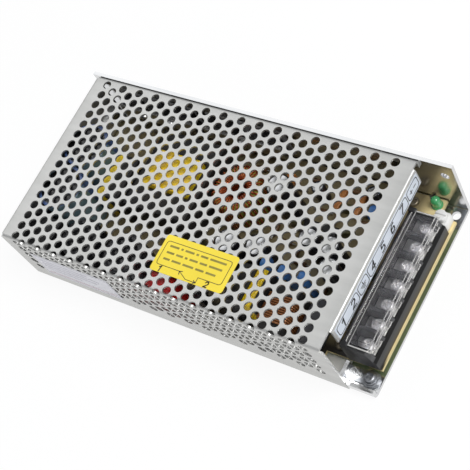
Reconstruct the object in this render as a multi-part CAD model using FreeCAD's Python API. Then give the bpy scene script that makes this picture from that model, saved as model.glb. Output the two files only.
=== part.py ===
import FreeCAD, Part
import math
import os

# Mesh case switching power supply: a folded aluminium chassis, a perforated
# folded cover, a circuit board with its parts, and a terminal end.
# X runs from the closed rear end to the terminals, Y across, Z up.
# The origin is the middle of the bottom of the whole supply. Millimetres.

V = FreeCAD.Vector

# Case
CASE_WIDTH = 98.0
CASE_HEIGHT = 38.2
CHASSIS_LENGTH = 202.4
CHASSIS_THICK = 1.8
CHASSIS_FOLD = 0.5
FRONT_RAKE = 1.4
REAR_STEP = 3.0
REAR_LIP_HEIGHT = 10.0
REAR_LIP_CORNER = 3.0
LIP_TAB_LENGTH = 7.9
LIP_TAB_GAP = 0.6
FRONT_LIP_HEIGHT = 5.5
FRONT_LIP_GAP = 0.3
EAR_WIDTH = 14.0
EAR_HEIGHT = 14.0
EAR_OFFSET = 36.0
EAR_WINDOW = 12.0

# Cover
FRONT_SHELF = 13.7
COVER_THICK = 1.0
COVER_FOLD = 0.4
COVER_FIT = 0.1
COVER_LIFT = 0.8
FAR_FLANGE = 5.0
FLANGE_HEIGHT = 10.0
FLANGE_NEAR_INSET = 9.7
FLANGE_FAR_INSET = 3.9
FOLD_RELIEF = 1.2
CORNER_NOTCH_LENGTH = 3.0
CORNER_NOTCH_HEIGHT = 6.0

# Ventilation holes, staggered in columns across the cover
HOLE_SIZE = 4.4
HOLE_PITCH = 6.0
HOLE_SIDES = 4
COLUMN_STEP = 2
FIRST_COLUMN = 9.02
LAST_COLUMN_MARGIN = 10.0
TOP_ROW_INSET = 3.79
SIDE_ROW_DROP = 3.42
SIDE_PLAIN = 9.0

# Screws
SCREW_RADIUS = 1.45
SCREW_HEAD_RADIUS = 2.75
SCREW_HEAD_HEIGHT = 1.8
SCREW_PLAY = 0.15
SCREW_SHORT = 0.3
SINK_HEAD_RADIUS = 2.6
SINK_HEAD_DEPTH = 1.2
FAR_SCREW_INSET = 20.0
FAR_SCREW_DROP = 2.7
SMALL_SIDES = 8
HOLE_FLATS = 6
PIN_SIDES = 16
CORNER_STEPS = 3

# Mounting holes in the chassis
MOUNT_SPACING_X = 138.0
MOUNT_SPACING_Y = 78.0
MOUNT_HOLE = 3.3
FRONT_HOLE = 4.3
FRONT_HOLE_INSET = 4.0
FLOOR_HOLE_OFFSET = 6.0
WALL_HOLE_HEIGHT = 29.6

# Circuit board
BOARD_THICK = 1.6
BOARD_LIFT = 3.2
BOARD_REAR_GAP = 2.4
BOARD_FRONT_GAP = 0.4
BOARD_SIDE_GAP = 0.5
BOARD_STEP = 14.7
BOARD_STEP_INSET = 11.0
BOARD_FAR_STEP = 8.8
BOARD_HOLE_CLEAR = 4.4
BOARD_NOTCH = 1.5
STANDOFF_RADIUS = 3.0
STANDOFF_REAR = 26.5
STANDOFF_FRONT = 23.4
STANDOFF_INSET = 7.5
STANDOFF_NEAR_FRONT_INSET = 15.5
SHEET_THICK = 0.3
SHEET_REAR = 4.2
SHEET_FRONT = 17.2

# Terminal block
TERMINAL_PITCH = 9.5
TERMINAL_SIDE_ROOM = 28.0
BLOCK_END = 1.75
BLOCK_TUCK = 3.1
BLOCK_DEPTH = 15.8
BLOCK_OFFSET = -3.4
BLOCK_FLOOR = 8.0
BLOCK_LEDGE = 1.6
BLOCK_BACK = 3.0
BLOCK_BACK_HEIGHT = 13.8
RIB_THICK = 1.8
RIB_HEIGHT = 14.6
RIB_SLANT = 2.2
RIB_SETBACK = 0.8
PLATE_THICK = 0.8
PLATE_SIDE_GAP = 0.35
PLATE_START = 3.7
PLATE_LENGTH = 10.6
CLAMP_THICK = 0.8
CLAMP_SIZE = 6.4
TERMINAL_SCREW_X = 9.8
TERMINAL_HEAD_RADIUS = 3.0
TERMINAL_HEAD_HEIGHT = 2.2
TERMINAL_SCREW_REACH = 4.5

# Hinged clear cover over the terminals
FLAP_THICK = 0.9
FLAP_GAP = 0.3
FLAP_END_PLAY = 0.2
FLAP_LENGTH = 13.6
FLAP_CORNER = 2.0
FLAP_PANEL_RISE = 0.4
FLAP_PANEL_INSET = 2.0
TOOTH_WIDTH = 3.0
TOOTH_LENGTH = 1.5
HINGE_X = 2.7
HINGE_RADIUS = 1.0
HINGE_PIN_RADIUS = 0.7
HINGE_PIN_LENGTH = 1.5
HINGE_FIT = 0.06
LUG_THICK = 2.1
LUG_WALL = 1.0

# Front corner pieces
TRIM_SETBACK = 5.0
TRIM_INSET = 13.6
TRIM_SIZE = 6.8
TRIM_HEIGHT = 5.4
KNOB_RADIUS = 2.9
KNOB_HEIGHT = 2.7
KNOB_GAP = 0.3
KNOB_SLOT = 0.8
KNOB_STEM_RADIUS = 0.8
KNOB_STEM_LENGTH = 3.0
KNOB_FIT = 0.05
LED_SETBACK = 12.2
LED_INSET = 5.8
LED_RADIUS = 2.3
LED_RIM = 0.4
LED_RIM_HEIGHT = 1.0
LED_HEIGHT = 6.4
EARTH_SETBACK = 5.1
EARTH_INSET = 6.7
EARTH_PLATE_RADIUS = 4.4
EARTH_PLATE_THICK = 0.8
EARTH_FORK_REACH = 7.6
EARTH_FORK_WIDTH = 6.4
EARTH_FORK_NOTCH = 3.2
WASHER_RADIUS = 4.2
WASHER_THICK = 0.7

# Voltage selector behind the near wall
SELECTOR_X = 86.0
SELECTOR_LENGTH = 13.5
SELECTOR_DEPTH = 7.0
SELECTOR_HEIGHT = 25.4
SELECTOR_PLAY = 0.15
SLIDER_WIDTH = 4.4
SLIDER_TALL = 4.2
SLIDER_TRAVEL = 5.0
SLIDER_DEPTH = 3.4
SLIDER_STANDOUT = 1.0
SLIDER_DROP = 8.0

# Parts that stand on the board
MAIN_CAP_X = 13.6
MAIN_CAP_RADIUS = 12.2
MAIN_CAP_HEIGHT = 27.4
MAIN_CAP_GAP = 0.4
MAIN_CAP_Y = -1.5
MAIN_CAP_SHOULDER = 1.0
LINE_CAP_X = 40.0
LINE_CAP_SPACING = 26.5
LINE_CAP_RADIUS = 10.6
LINE_CAP_HEIGHT = 26.4
REAR_BLOCK_X = 5.0
REAR_BLOCK_LENGTH = 17.5
REAR_BLOCK_WIDTH = 16.0
REAR_BLOCK_HEIGHT = 23.4
AUX_X = 31.2
AUX_Y = 1.4
AUX_WIDTH = 23.6
AUX_HEIGHT = 23.4
AUX_COIL = 5.6
AUX_CORE = 7.6
AUX_ROUND = 1.0
MAIN_COIL_X = 53.7
MAIN_COIL_Y = 1.0
MAIN_COIL_LENGTH = 27.6
MAIN_COIL_WIDTH = 19.4
MAIN_COIL_HEIGHT = 26.4
MAIN_COIL_ROUND = 2.0
MAIN_YOKE = 11.5
MAIN_LEG = 4.6
MAIN_CORE_LIFT = 3.4
MAIN_CORE_HEIGHT = 20.0
CORE_FIT = 0.15
CHOKE_X = 100.2
CHOKE_Y = 15.0
CHOKE_CORE_OUT = 11.8
CHOKE_CORE_IN = 6.0
CHOKE_CORE_HEIGHT = 17.4
CHOKE_TURNS = 14
CHOKE_WIRE = 1.6
CHOKE_SIDES = 16
DRIVER_X = 124.6
DRIVER_Y = -38.6
DRIVER_WIDTH = 19.2
DRIVER_HEIGHT = 20.0
DRIVER_COIL_X = 9.4
DRIVER_COIL = 5.6
DRIVER_LEG = 6.0
DRIVER_FRONT = 1.6
DRIVER_LIFT = 3.4
FILTER_X = 143.6
FILTER_LENGTH = 13.0
FILTER_WIDTH = 23.0
FILTER_HEIGHT = 17.0
FILTER_LEG = 3.5
FILTER_YOKE = 5.0
FILTER_WIRE = 1.5
LINE_FILM_X = 160.5
LINE_FILM_LENGTH = 8.5
LINE_FILM_WIDTH = 21.0
LINE_FILM_HEIGHT = 13.4
LINE_FILM_INSET = 3.8
NEAR_ROW_GAP = 0.3
OUTPUT_CAP_HEIGHT = 24.4
OUTPUT_CAP_PLACES = [(112.3, -12.6, 5.9), (122.6, 20.6, 5.9), (127.8, -10.2, 5.5),
                     (149.6, 0.8, 4.7), (161.0, 0.2, 4.7), (165.6, -9.8, 4.8)]
SMALL_CAP_RADIUS = 3.2
SMALL_CAP_HEIGHT = 11.0
SMALL_CAP_PLACES = [(88.0, -22.0), (97.0, -22.0), (133.5, 31.0), (160.5, 36.0)]
DISC_RADIUS = 3.4
DISC_THICK = 3.2
DISC_LIFT = 16.6
DISC_PLACES = [(134.8, -15.9), (144.8, -16.9), (155.2, -16.9), (171.3, 22.3)]
THERMISTOR_LIFT = 4.0
RESISTOR_LENGTH = 12.0
RESISTOR_WIDTH = 4.6
RESISTOR_PLACES = [(142.6, 31.5), (153.3, 31.5), (113.5, 31.0)]
CHIP_X = 140.0
CHIP_Y = 14.0
CHIP_LENGTH = 19.0
CHIP_WIDTH = 6.4
CHIP_HEIGHT = 3.6
FUSE_SETBACK = 25.0
FUSE_Y = -17.0
FUSE_LENGTH = 20.0
FUSE_RADIUS = 2.5
FUSE_LIFT = 1.2
CLIP_WALL = 0.5
CLIP_LENGTH = 5.0
CLIP_RISE = 2.0
THERMISTOR_X = 104.0
THERMISTOR_INSET = 9.6

# Parts clamped to the far wall
PAD_THICK = 0.4
PAD_LENGTH = 46.0
PAD_HEIGHT = 18.0
PAD_BOTTOM = 11.0
PAD_PLACES = [11.0, 64.0]
DEVICE_DEPTH = 4.6
DEVICE_HEIGHT = 15.0
SWITCH_WIDTH = 10.2
SWITCH_PLACES = [17.0, 34.0, 51.0]
DIODE_WIDTH = 15.6
DIODE_PLACES = [74.0, 99.0]
CLAMP_DEPTH = 1.6
CLAMP_BAR_HEIGHT = 8.0
CLAMP_SCREW_PLACES = [25.5, 42.5, 86.5]

# Labels
LABEL_THICK = 0.1
TOP_LABEL_X = 88.2
TOP_LABEL_LENGTH = 40.7
TOP_LABEL_INSET = 9.2
TOP_LABEL_WIDTH = 18.7
TOP_LABEL_ROUND = 1.5
SIDE_LABEL_X = 12.0
SIDE_LABEL_LENGTH = 49.0
SIDE_LABEL_RISE = 6.0
SIDE_LABEL_HEIGHT = 20.0
STRIP_MARGIN = 1.6
STRIP_HEIGHT = 8.3

# Places that follow from the sizes above. The parts inside follow the length and
# the width of the case, so a smaller case holds smaller parts.
LENGTH_FIT = CHASSIS_LENGTH / 202.4
WIDTH_FIT = CASE_WIDTH / 98.0
ROUND_FIT = min(LENGTH_FIT, WIDTH_FIT)
COVER_LENGTH = CHASSIS_LENGTH - REAR_STEP - FRONT_SHELF
TERMINALS = int((CASE_WIDTH - TERMINAL_SIDE_ROOM) / TERMINAL_PITCH)
HALF = CASE_WIDTH / 2
REAR_X = -(CHASSIS_LENGTH + FRONT_RAKE) / 2
FRONT_X = REAR_X + CHASSIS_LENGTH
COVER_REAR = REAR_X + REAR_STEP
COVER_FRONT = COVER_REAR + COVER_LENGTH
FAR_IN = HALF - CHASSIS_THICK
LIP_OUT = -HALF + COVER_THICK + COVER_FIT
LIP_IN = LIP_OUT + CHASSIS_THICK
FAR_EDGE = FAR_IN - COVER_FIT
FLANGE_NEAR = -HALF + FLANGE_NEAR_INSET
FLANGE_FAR = FAR_EDGE - FLANGE_FAR_INSET
FLANGE_BOTTOM = CASE_HEIGHT - FLANGE_HEIGHT
COVER_BEND = COVER_FOLD + COVER_THICK
CHASSIS_BEND = CHASSIS_FOLD + CHASSIS_THICK
BOARD_BOTTOM = CHASSIS_THICK + BOARD_LIFT
BOARD_TOP = BOARD_BOTTOM + BOARD_THICK
BOARD_FAR = FAR_IN - BOARD_SIDE_GAP
BOARD_NEAR = LIP_IN + BOARD_SIDE_GAP
BLOCK_TOP = BOARD_TOP + BLOCK_FLOOR
RIB_TOP = BOARD_TOP + RIB_HEIGHT
FLAP_BOTTOM = RIB_TOP + FLAP_GAP
HINGE_Z = FLAP_BOTTOM + FLAP_THICK / 2


BLOCK_BACK_X = COVER_FRONT - BLOCK_TUCK
BLOCK_FRONT = BLOCK_BACK_X + BLOCK_DEPTH
BLOCK_HALF = TERMINALS * TERMINAL_PITCH / 2 + BLOCK_END
TERMINAL_X = BLOCK_BACK_X + TERMINAL_SCREW_X
TERMINAL_YS = [BLOCK_OFFSET + (k - (TERMINALS - 1) / 2) * TERMINAL_PITCH for k in range(TERMINALS)]
FLAP_HALF = BLOCK_HALF - LUG_THICK - FLAP_END_PLAY
TRIM_X = FRONT_X - TRIM_SETBACK
TRIM_Y = HALF - TRIM_INSET
LED_X = FRONT_X - LED_SETBACK
LED_Y = HALF - LED_INSET
EARTH_X = FRONT_X - EARTH_SETBACK
EARTH_Y = -HALF + EARTH_INSET
FUSE_X = FRONT_X - FUSE_SETBACK


def along(x):
    """Place along the case, from the rear edge of the cover."""
    return COVER_REAR + x * LENGTH_FIT


def across(y):
    """Place across the case, from its middle line."""
    return y * WIDTH_FIT


def box(x0, x1, y0, y1, z0, z1):
    """Block between two corners."""
    return Part.makeBox(x1 - x0, y1 - y0, z1 - z0, V(x0, y0, z0))


def rod(x, y, z0, z1, radius):
    """Upright round rod."""
    return Part.makeCylinder(radius, z1 - z0, V(x, y, z0))


def rod_y(x, y0, y1, z, radius):
    """Round rod along Y."""
    return Part.makeCylinder(radius, y1 - y0, V(x, y0, z), V(0, 1, 0))


def ring_points(centre, axis, radius, sides):
    """Closed ring of points about an axis, which is "x", "y" or "z"."""
    points = []
    for k in range(sides):
        angle = 2 * math.pi * (k + 0.5) / sides
        u = radius * math.cos(angle)
        v = radius * math.sin(angle)
        step = {"x": V(0, u, v), "y": V(u, 0, v), "z": V(u, v, 0)}[axis]
        points.append(centre + step)
    points.append(points[0])
    return points


def stack(rings):
    """Solid through rings of points, with flat faces between each ring and the next."""
    faces = [Part.Face(Part.makePolygon(rings[0])), Part.Face(Part.makePolygon(rings[-1]))]
    for low, high in zip(rings, rings[1:]):
        for k in range(len(low) - 1):
            corners = [low[k], low[k + 1], high[k + 1], high[k], low[k]]
            faces.append(Part.Face(Part.makePolygon(corners)))
    solid = Part.makeSolid(Part.makeShell(faces))
    if solid.Volume < 0:
        solid.reverse()
    return solid


def stud(x, y, z0, z1, radius, sides=SMALL_SIDES):
    """Upright rod with flat sides, for small pieces that repeat."""
    face = Part.Face(Part.makePolygon(ring_points(V(x, y, z0), "z", radius, sides)))
    return face.extrude(V(0, 0, z1 - z0))


def stud_x(x0, x1, y, z, radius, sides=SMALL_SIDES):
    """Rod with flat sides along X."""
    face = Part.Face(Part.makePolygon(ring_points(V(x0, y, z), "x", radius, sides)))
    return face.extrude(V(x1 - x0, 0, 0))


def stud_y(x, y0, y1, z, radius, sides=SMALL_SIDES):
    """Rod with flat sides along Y."""
    face = Part.Face(Part.makePolygon(ring_points(V(x, y0, z), "y", radius, sides)))
    return face.extrude(V(0, y1 - y0, 0))


def flat_bore(radius):
    """Corner radius of a flat-sided bore that a round pin of this radius just fills."""
    return radius / math.cos(math.pi / PIN_SIDES)


def screw_hole(x, y, z0, z1):
    """Waste for a screw hole, wide enough for a shank of as many flats."""
    return stud(x, y, z0, z1, SCREW_RADIUS + SCREW_PLAY, HOLE_FLATS)


def screw(x, y, low, seat, head_radius, head_height):
    """Upright screw: a shank up to its seat and a flat head on it."""
    head = stud(x, y, seat, seat + head_height, head_radius)
    return head.fuse(stud(x, y, low, seat, SCREW_RADIUS, HOLE_FLATS))


def can(x, y, height, radius, shoulder, sides):
    """Capacitor can on the board, with a sloped shoulder round its top."""
    top = BOARD_TOP + height
    rings = [ring_points(V(x, y, BOARD_TOP), "z", radius, sides),
             ring_points(V(x, y, top - shoulder), "z", radius, sides),
             ring_points(V(x, y, top), "z", radius - shoulder, sides)]
    return stack(rings)


def outline(corners, place):
    """Closed wire through corners (u, v, radius), rounded where the radius is above zero."""
    edges = []
    joins = []
    count = len(corners)
    for i in range(count):
        u, v, radius = corners[i]
        here = V(u, v, 0)
        back = V(corners[i - 1][0], corners[i - 1][1], 0) - here
        ahead = V(corners[(i + 1) % count][0], corners[(i + 1) % count][1], 0) - here
        back.normalize()
        ahead.normalize()
        if radius <= 0:
            joins.append((here, None, here))
            continue
        half_angle = back.getAngle(ahead) / 2
        middle_way = back + ahead
        middle_way.normalize()
        centre = here + middle_way * (radius / math.sin(half_angle))
        reach = radius / math.tan(half_angle)
        joins.append((here + back * reach, centre - middle_way * radius, here + ahead * reach))
    for i in range(count):
        start, middle, end = joins[i]
        if middle is not None:
            edges.append(Part.Arc(place(start), place(middle), place(end)).toShape())
        following = joins[(i + 1) % count][0]
        if end.distanceToPoint(following) > 1e-6:
            edges.append(Part.LineSegment(place(end), place(following)).toShape())
    return Part.Wire(edges)


def along_x(corners, x0, x1):
    """Outline in Y and Z, drawn out along X."""
    wire = outline(corners, lambda p: V(x0, p.x, p.y))
    return Part.Face(wire).extrude(V(x1 - x0, 0, 0))


def along_y(corners, y0, y1):
    """Outline in X and Z, drawn out along Y."""
    wire = outline(corners, lambda p: V(p.x, y0, p.y))
    return Part.Face(wire).extrude(V(0, y1 - y0, 0))


def along_z(corners, z0, z1):
    """Outline in X and Y, drawn out along Z."""
    wire = outline(corners, lambda p: V(p.x, p.y, z0))
    return Part.Face(wire).extrude(V(0, 0, z1 - z0))


def rounded_block(x0, x1, y0, y1, z0, z1, radius):
    """Block with rounded upright corners, each in a few flat steps."""
    points = []
    middles = [(x1 - radius, y1 - radius), (x0 + radius, y1 - radius),
               (x0 + radius, y0 + radius), (x1 - radius, y0 + radius)]
    for quarter in range(4):
        u, v = middles[quarter]
        for k in range(CORNER_STEPS + 1):
            angle = math.pi / 2 * (quarter + k / CORNER_STEPS)
            points.append(V(u + radius * math.cos(angle), v + radius * math.sin(angle), z0))
    points.append(points[0])
    return Part.Face(Part.makePolygon(points)).extrude(V(0, 0, z1 - z0))


def join(shapes):
    """One solid from pieces that meet face to face."""
    return shapes[0].multiFuse(shapes[1:]).removeSplitter()


def make_chassis():
    """Folded sheet: floor, full far wall, low near lip and two rear ears."""
    t = CHASSIS_THICK
    top = CASE_HEIGHT
    far = [(HALF, 0, CHASSIS_BEND), (HALF, top, 0), (FAR_IN, top, 0), (FAR_IN, t, CHASSIS_FOLD)]
    lip_end = COVER_FRONT - LIP_TAB_GAP
    lip_rear = far + [(LIP_IN, t, CHASSIS_FOLD), (LIP_IN, REAR_LIP_HEIGHT, 0),
                      (LIP_OUT, REAR_LIP_HEIGHT, 0), (LIP_OUT, 0, CHASSIS_BEND)]
    floor_edge = LIP_OUT + CHASSIS_BEND
    plain = far + [(floor_edge, t, 0), (floor_edge, 0, 0)]
    lip_front = far + [(-HALF + t, t, CHASSIS_FOLD), (-HALF + t, FRONT_LIP_HEIGHT, 0),
                       (-HALF, FRONT_LIP_HEIGHT, 0), (-HALF, 0, CHASSIS_BEND)]
    front_start = COVER_FRONT + FRONT_LIP_GAP
    rear = along_x(lip_rear, REAR_X, lip_end)
    rear = rear.cut(rear_lip_corner())
    middle = along_x(plain, lip_end, front_start)
    front = along_x(lip_front, front_start, FRONT_X + FRONT_RAKE)
    tab = box(lip_end - t, lip_end, LIP_IN, LIP_OUT + LIP_TAB_LENGTH, 0, REAR_LIP_HEIGHT)
    chassis = join([rear, middle, front, tab])
    slope = FRONT_RAKE / top
    past = FRONT_X + 2 * FRONT_RAKE + 1
    waste = along_y([(FRONT_X - slope, -1, 0), (past, -1, 0),
                     (past, top + 1, 0), (FRONT_X + slope * (top + 1), top + 1, 0)],
                    -HALF - 1, HALF + 1)
    chassis = chassis.cut(waste)
    ear_x = COVER_REAR + COVER_THICK + COVER_FIT
    ears = []
    tools = []
    for side in (-1, 1):
        y = side * EAR_OFFSET
        half = EAR_WIDTH / 2
        ears.append(box(ear_x, ear_x + t, y - half, y + half, t, t + EAR_HEIGHT))
        tools.append(box(ear_x + t, ear_x + t + EAR_WINDOW, y - half, y + half, -1, t + 1))
        tools.append(stud_x(ear_x - 1, ear_x + t + 1, y, rear_screw_z(), SCREW_RADIUS + SCREW_PLAY, HOLE_FLATS))
        for end in (-1, 1):
            tools.append(rod(end * MOUNT_SPACING_X / 2, side * MOUNT_SPACING_Y / 2, -1, t + 1, MOUNT_HOLE / 2))
    hole_x = FRONT_X - FRONT_HOLE_INSET
    tools.append(rod(hole_x, HALF - FLOOR_HOLE_OFFSET, -1, t + 1, FRONT_HOLE / 2))
    tools.append(rod_y(hole_x, FAR_IN - 1, HALF + 1, WALL_HOLE_HEIGHT, FRONT_HOLE / 2))
    tools.append(screw_hole(EARTH_X, EARTH_Y, -1, t + 1))
    for x in CLAMP_SCREW_PLACES:
        tools.append(stud_y(along(x), FAR_IN - 1, HALF + 1, clamp_z(), SCREW_RADIUS + SCREW_PLAY, HOLE_FLATS))
    for x in far_screw_xs():
        tools.append(stud_y(x, FAR_IN - 1, HALF + 1, far_screw_z(), SCREW_RADIUS + SCREW_PLAY, HOLE_FLATS))
        tools.append(sink_cone(x, SCREW_PLAY))
    return chassis.fuse(ears[0]).fuse(ears[1]).cut(Part.Compound(tools)).removeSplitter()


def rear_lip_corner():
    """Waste that rounds the top rear corner of the near lip."""
    r = REAR_LIP_CORNER
    square = box(REAR_X - 1, REAR_X + r, LIP_OUT - 1, LIP_IN + 1, REAR_LIP_HEIGHT - r, REAR_LIP_HEIGHT + 1)
    return square.cut(rod_y(REAR_X + r, LIP_OUT - 1, LIP_IN + 1, REAR_LIP_HEIGHT - r, r))


def rear_screw_z():
    """Height of the screws that hold the cover to the rear ears."""
    return CHASSIS_THICK + EAR_HEIGHT - 5.0


def far_screw_xs():
    """Places of the sunk screws along the far wall."""
    return [COVER_REAR + FAR_SCREW_INSET, COVER_FRONT - FAR_SCREW_INSET]


def far_screw_z():
    """Height of the sunk screws in the far wall."""
    return CASE_HEIGHT - FAR_SCREW_DROP


def sink_cone(x, play):
    """Cone of a sunk screw head in the far wall."""
    inner = V(x, HALF - SINK_HEAD_DEPTH, far_screw_z())
    outer = V(x, HALF, far_screw_z())
    return stack([ring_points(inner, "y", SCREW_RADIUS + play, HOLE_FLATS),
                  ring_points(outer, "y", SINK_HEAD_RADIUS + play, HOLE_FLATS)])


def clamp_z():
    """Height of the clamp bars on the far wall."""
    return PAD_BOTTOM + PAD_HEIGHT / 2


def hole_tool(centre, across, up, room, through):
    """Ventilation hole as a prism, cut short where a fold leaves less room than its radius."""
    r = HOLE_SIZE / 2
    points = []
    for k in range(HOLE_SIDES):
        angle = 2 * math.pi * k / HOLE_SIDES
        u = r * math.cos(angle)
        v = r * math.sin(angle)
        if v > room:
            points.append(centre + across * (r - room) + up * room)
            points.append(centre - across * (r - room) + up * room)
        else:
            points.append(centre + across * u + up * v)
    points.append(points[0])
    return Part.Face(Part.makePolygon(points)).extrude(through)


def within(place, start, length):
    """True where a whole hole lies inside a stretch."""
    return start + HOLE_SIZE / 2 < place < start + length - HOLE_SIZE / 2


def under_top_label(x, y):
    """True for a hole that the top label covers."""
    return within(x, along(TOP_LABEL_X), TOP_LABEL_LENGTH) and within(y, -HALF + TOP_LABEL_INSET, TOP_LABEL_WIDTH)


def under_side_label(x, z):
    """True for a hole that the side label covers."""
    return within(x, along(SIDE_LABEL_X), SIDE_LABEL_LENGTH) and within(z, SIDE_LABEL_RISE, SIDE_LABEL_HEIGHT)


def vent_holes():
    """Prisms of the ventilation holes.

    Every second column is cut, so that the sheet stays light to draw, and none under a label.
    """
    tools = []
    x = FIRST_COLUMN
    column = 0
    bend_y = -HALF + COVER_BEND + 0.05
    bend_z = CASE_HEIGHT - COVER_BEND - 0.05
    deep = COVER_THICK + 2
    while x <= COVER_LENGTH - LAST_COLUMN_MARGIN:
        place = COVER_REAR + x
        shift = HOLE_PITCH / 2 * (column % 2)
        y = FAR_EDGE - TOP_ROW_INSET - shift
        while column % COLUMN_STEP == 0 and y > bend_y:
            room = y - bend_y
            centre = V(place, y, CASE_HEIGHT + 1)
            if not under_top_label(place, y):
                tools.append(hole_tool(centre, V(1, 0, 0), V(0, -1, 0), room, V(0, 0, -deep)))
            y -= HOLE_PITCH
        z = CASE_HEIGHT - SIDE_ROW_DROP
        while column % COLUMN_STEP == 0 and z > SIDE_PLAIN:
            centre = V(place, -HALF - 1, z)
            if not under_side_label(place, z):
                tools.append(hole_tool(centre, V(1, 0, 0), V(0, 0, 1), bend_z - z, V(0, deep, 0)))
            z -= HOLE_PITCH
        x += HOLE_PITCH * math.sqrt(3) / 2
        column += 1
    return tools


def make_cover():
    """Folded perforated sheet: top, near wall, rear wall, front and far flanges."""
    t = COVER_THICK
    top = CASE_HEIGHT
    near = -HALF
    near_wall = [(near + t, top - t, COVER_FOLD), (near + t, COVER_LIFT, 0),
                 (near, COVER_LIFT, 0), (near, top, COVER_BEND)]
    far_fold = [(FAR_EDGE, top, COVER_BEND), (FAR_EDGE, top - FAR_FLANGE, 0),
                (FAR_EDGE - t, top - FAR_FLANGE, 0), (FAR_EDGE - t, top - t, COVER_FOLD)]
    body = along_x(near_wall + far_fold, COVER_REAR + COVER_BEND, COVER_FRONT - COVER_BEND)
    near_end = FLANGE_NEAR - FOLD_RELIEF
    far_end = FLANGE_FAR + FOLD_RELIEF
    near_corner = along_x(near_wall + [(near_end, top, 0), (near_end, top - t, 0)],
                          COVER_FRONT - COVER_BEND, COVER_FRONT)
    far_corner = along_x(far_fold + [(far_end, top - t, 0), (far_end, top, 0)],
                         COVER_FRONT - COVER_BEND, COVER_FRONT)
    rear_near = box(COVER_REAR, COVER_REAR + COVER_BEND, near, near + t, COVER_LIFT, top - COVER_BEND)
    bottom = CHASSIS_THICK + CHASSIS_FOLD
    rear_wall = along_y([(COVER_REAR, bottom, 0), (COVER_REAR, top, COVER_BEND),
                         (COVER_REAR + COVER_BEND, top, 0), (COVER_REAR + COVER_BEND, top - t, 0),
                         (COVER_REAR + t, top - t, COVER_FOLD), (COVER_REAR + t, bottom, 0)],
                        near + COVER_BEND, FAR_EDGE - COVER_BEND)
    rear_side = box(COVER_REAR, COVER_REAR + t, near + t, near + COVER_BEND, bottom, top - COVER_BEND)
    rear_far = box(COVER_REAR, COVER_REAR + t, FAR_EDGE - COVER_BEND, FAR_EDGE, bottom, top - COVER_BEND)
    flange = along_y([(COVER_FRONT, FLANGE_BOTTOM, 0), (COVER_FRONT, top, COVER_BEND),
                      (COVER_FRONT - COVER_BEND, top, 0), (COVER_FRONT - COVER_BEND, top - t, 0),
                      (COVER_FRONT - t, top - t, COVER_FOLD), (COVER_FRONT - t, FLANGE_BOTTOM, 0)],
                     FLANGE_NEAR, FLANGE_FAR)
    cover = join([body, near_corner, far_corner, rear_near, rear_side, rear_far, rear_wall, flange])
    tools = vent_holes()
    tools.append(box(COVER_FRONT - CORNER_NOTCH_LENGTH, COVER_FRONT + 1, near - 1, near + t + 1,
                     COVER_LIFT - 1, COVER_LIFT + CORNER_NOTCH_HEIGHT))
    tools.append(box(COVER_REAR - 1, COVER_REAR + t + 1, near + t, LIP_IN + COVER_FIT,
                     0, REAR_LIP_HEIGHT + COVER_FIT))
    for side in (-1, 1):
        tools.append(stud_x(COVER_REAR - 1, COVER_REAR + t + 1, side * EAR_OFFSET,
                            rear_screw_z(), SCREW_RADIUS + SCREW_PLAY, HOLE_FLATS))
    for x in far_screw_xs():
        tools.append(stud_y(x, FAR_EDGE - t - 1, FAR_EDGE + 1, far_screw_z(),
                            SCREW_RADIUS + SCREW_PLAY, HOLE_FLATS))
    return cover.cut(Part.Compound(tools))


def make_cover_screws():
    """Two pan head screws in the rear wall and two sunk screws in the far wall."""
    screws = []
    ear_end = COVER_REAR + COVER_THICK + COVER_FIT + CHASSIS_THICK
    for side in (-1, 1):
        y = side * EAR_OFFSET
        head = stud_x(COVER_REAR - SCREW_HEAD_HEIGHT, COVER_REAR, y, rear_screw_z(), SCREW_HEAD_RADIUS)
        screws.append(head.fuse(stud_x(COVER_REAR, ear_end, y, rear_screw_z(), SCREW_RADIUS, HOLE_FLATS)))
    for x in far_screw_xs():
        shank = stud_y(x, FAR_EDGE - COVER_THICK, HALF - SINK_HEAD_DEPTH, far_screw_z(),
                       SCREW_RADIUS, HOLE_FLATS)
        screws.append(sink_cone(x, 0).fuse(shank))
    return screws


def standoff_places():
    """Places of the four posts under the board."""
    far = HALF - STANDOFF_INSET
    front = FRONT_X - STANDOFF_FRONT
    return [(along(STANDOFF_REAR), -far), (along(STANDOFF_REAR), far),
            (front, -HALF + STANDOFF_NEAR_FRONT_INSET), (front, far)]


def make_board():
    """Circuit board, narrowed beside the terminals and cut round the corner hole."""
    rear = COVER_REAR + COVER_THICK + BOARD_REAR_GAP
    front = FRONT_X - BOARD_FRONT_GAP
    step_x = COVER_FRONT - BOARD_STEP
    step_y = -HALF + BOARD_STEP_INSET
    far_x = FRONT_X - BOARD_FAR_STEP
    corners = [(rear, BOARD_NEAR, 0), (step_x, BOARD_NEAR, 0), (step_x, step_y, 0), (front, step_y, 0),
               (front, BOARD_FAR - BOARD_FAR_STEP, 0), (far_x, BOARD_FAR - BOARD_FAR_STEP, 0),
               (far_x, BOARD_FAR, 0), (rear, BOARD_FAR, 0)]
    board = along_z(corners, BOARD_BOTTOM, BOARD_TOP)
    low = BOARD_BOTTOM - 1
    high = BOARD_TOP + 1
    tools = [stud(FRONT_X - FRONT_HOLE_INSET, HALF - FLOOR_HOLE_OFFSET, low, high, BOARD_HOLE_CLEAR, PIN_SIDES),
             stud(COVER_FRONT - CORNER_NOTCH_LENGTH, BOARD_FAR, low, high, BOARD_NOTCH),
             stud(BLOCK_BACK_X + BLOCK_DEPTH / 2, step_y, low, high, BOARD_NOTCH)]
    for x, y in standoff_places():
        tools.append(screw_hole(x, y, low, high))
    return board.cut(Part.Compound(tools))


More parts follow.
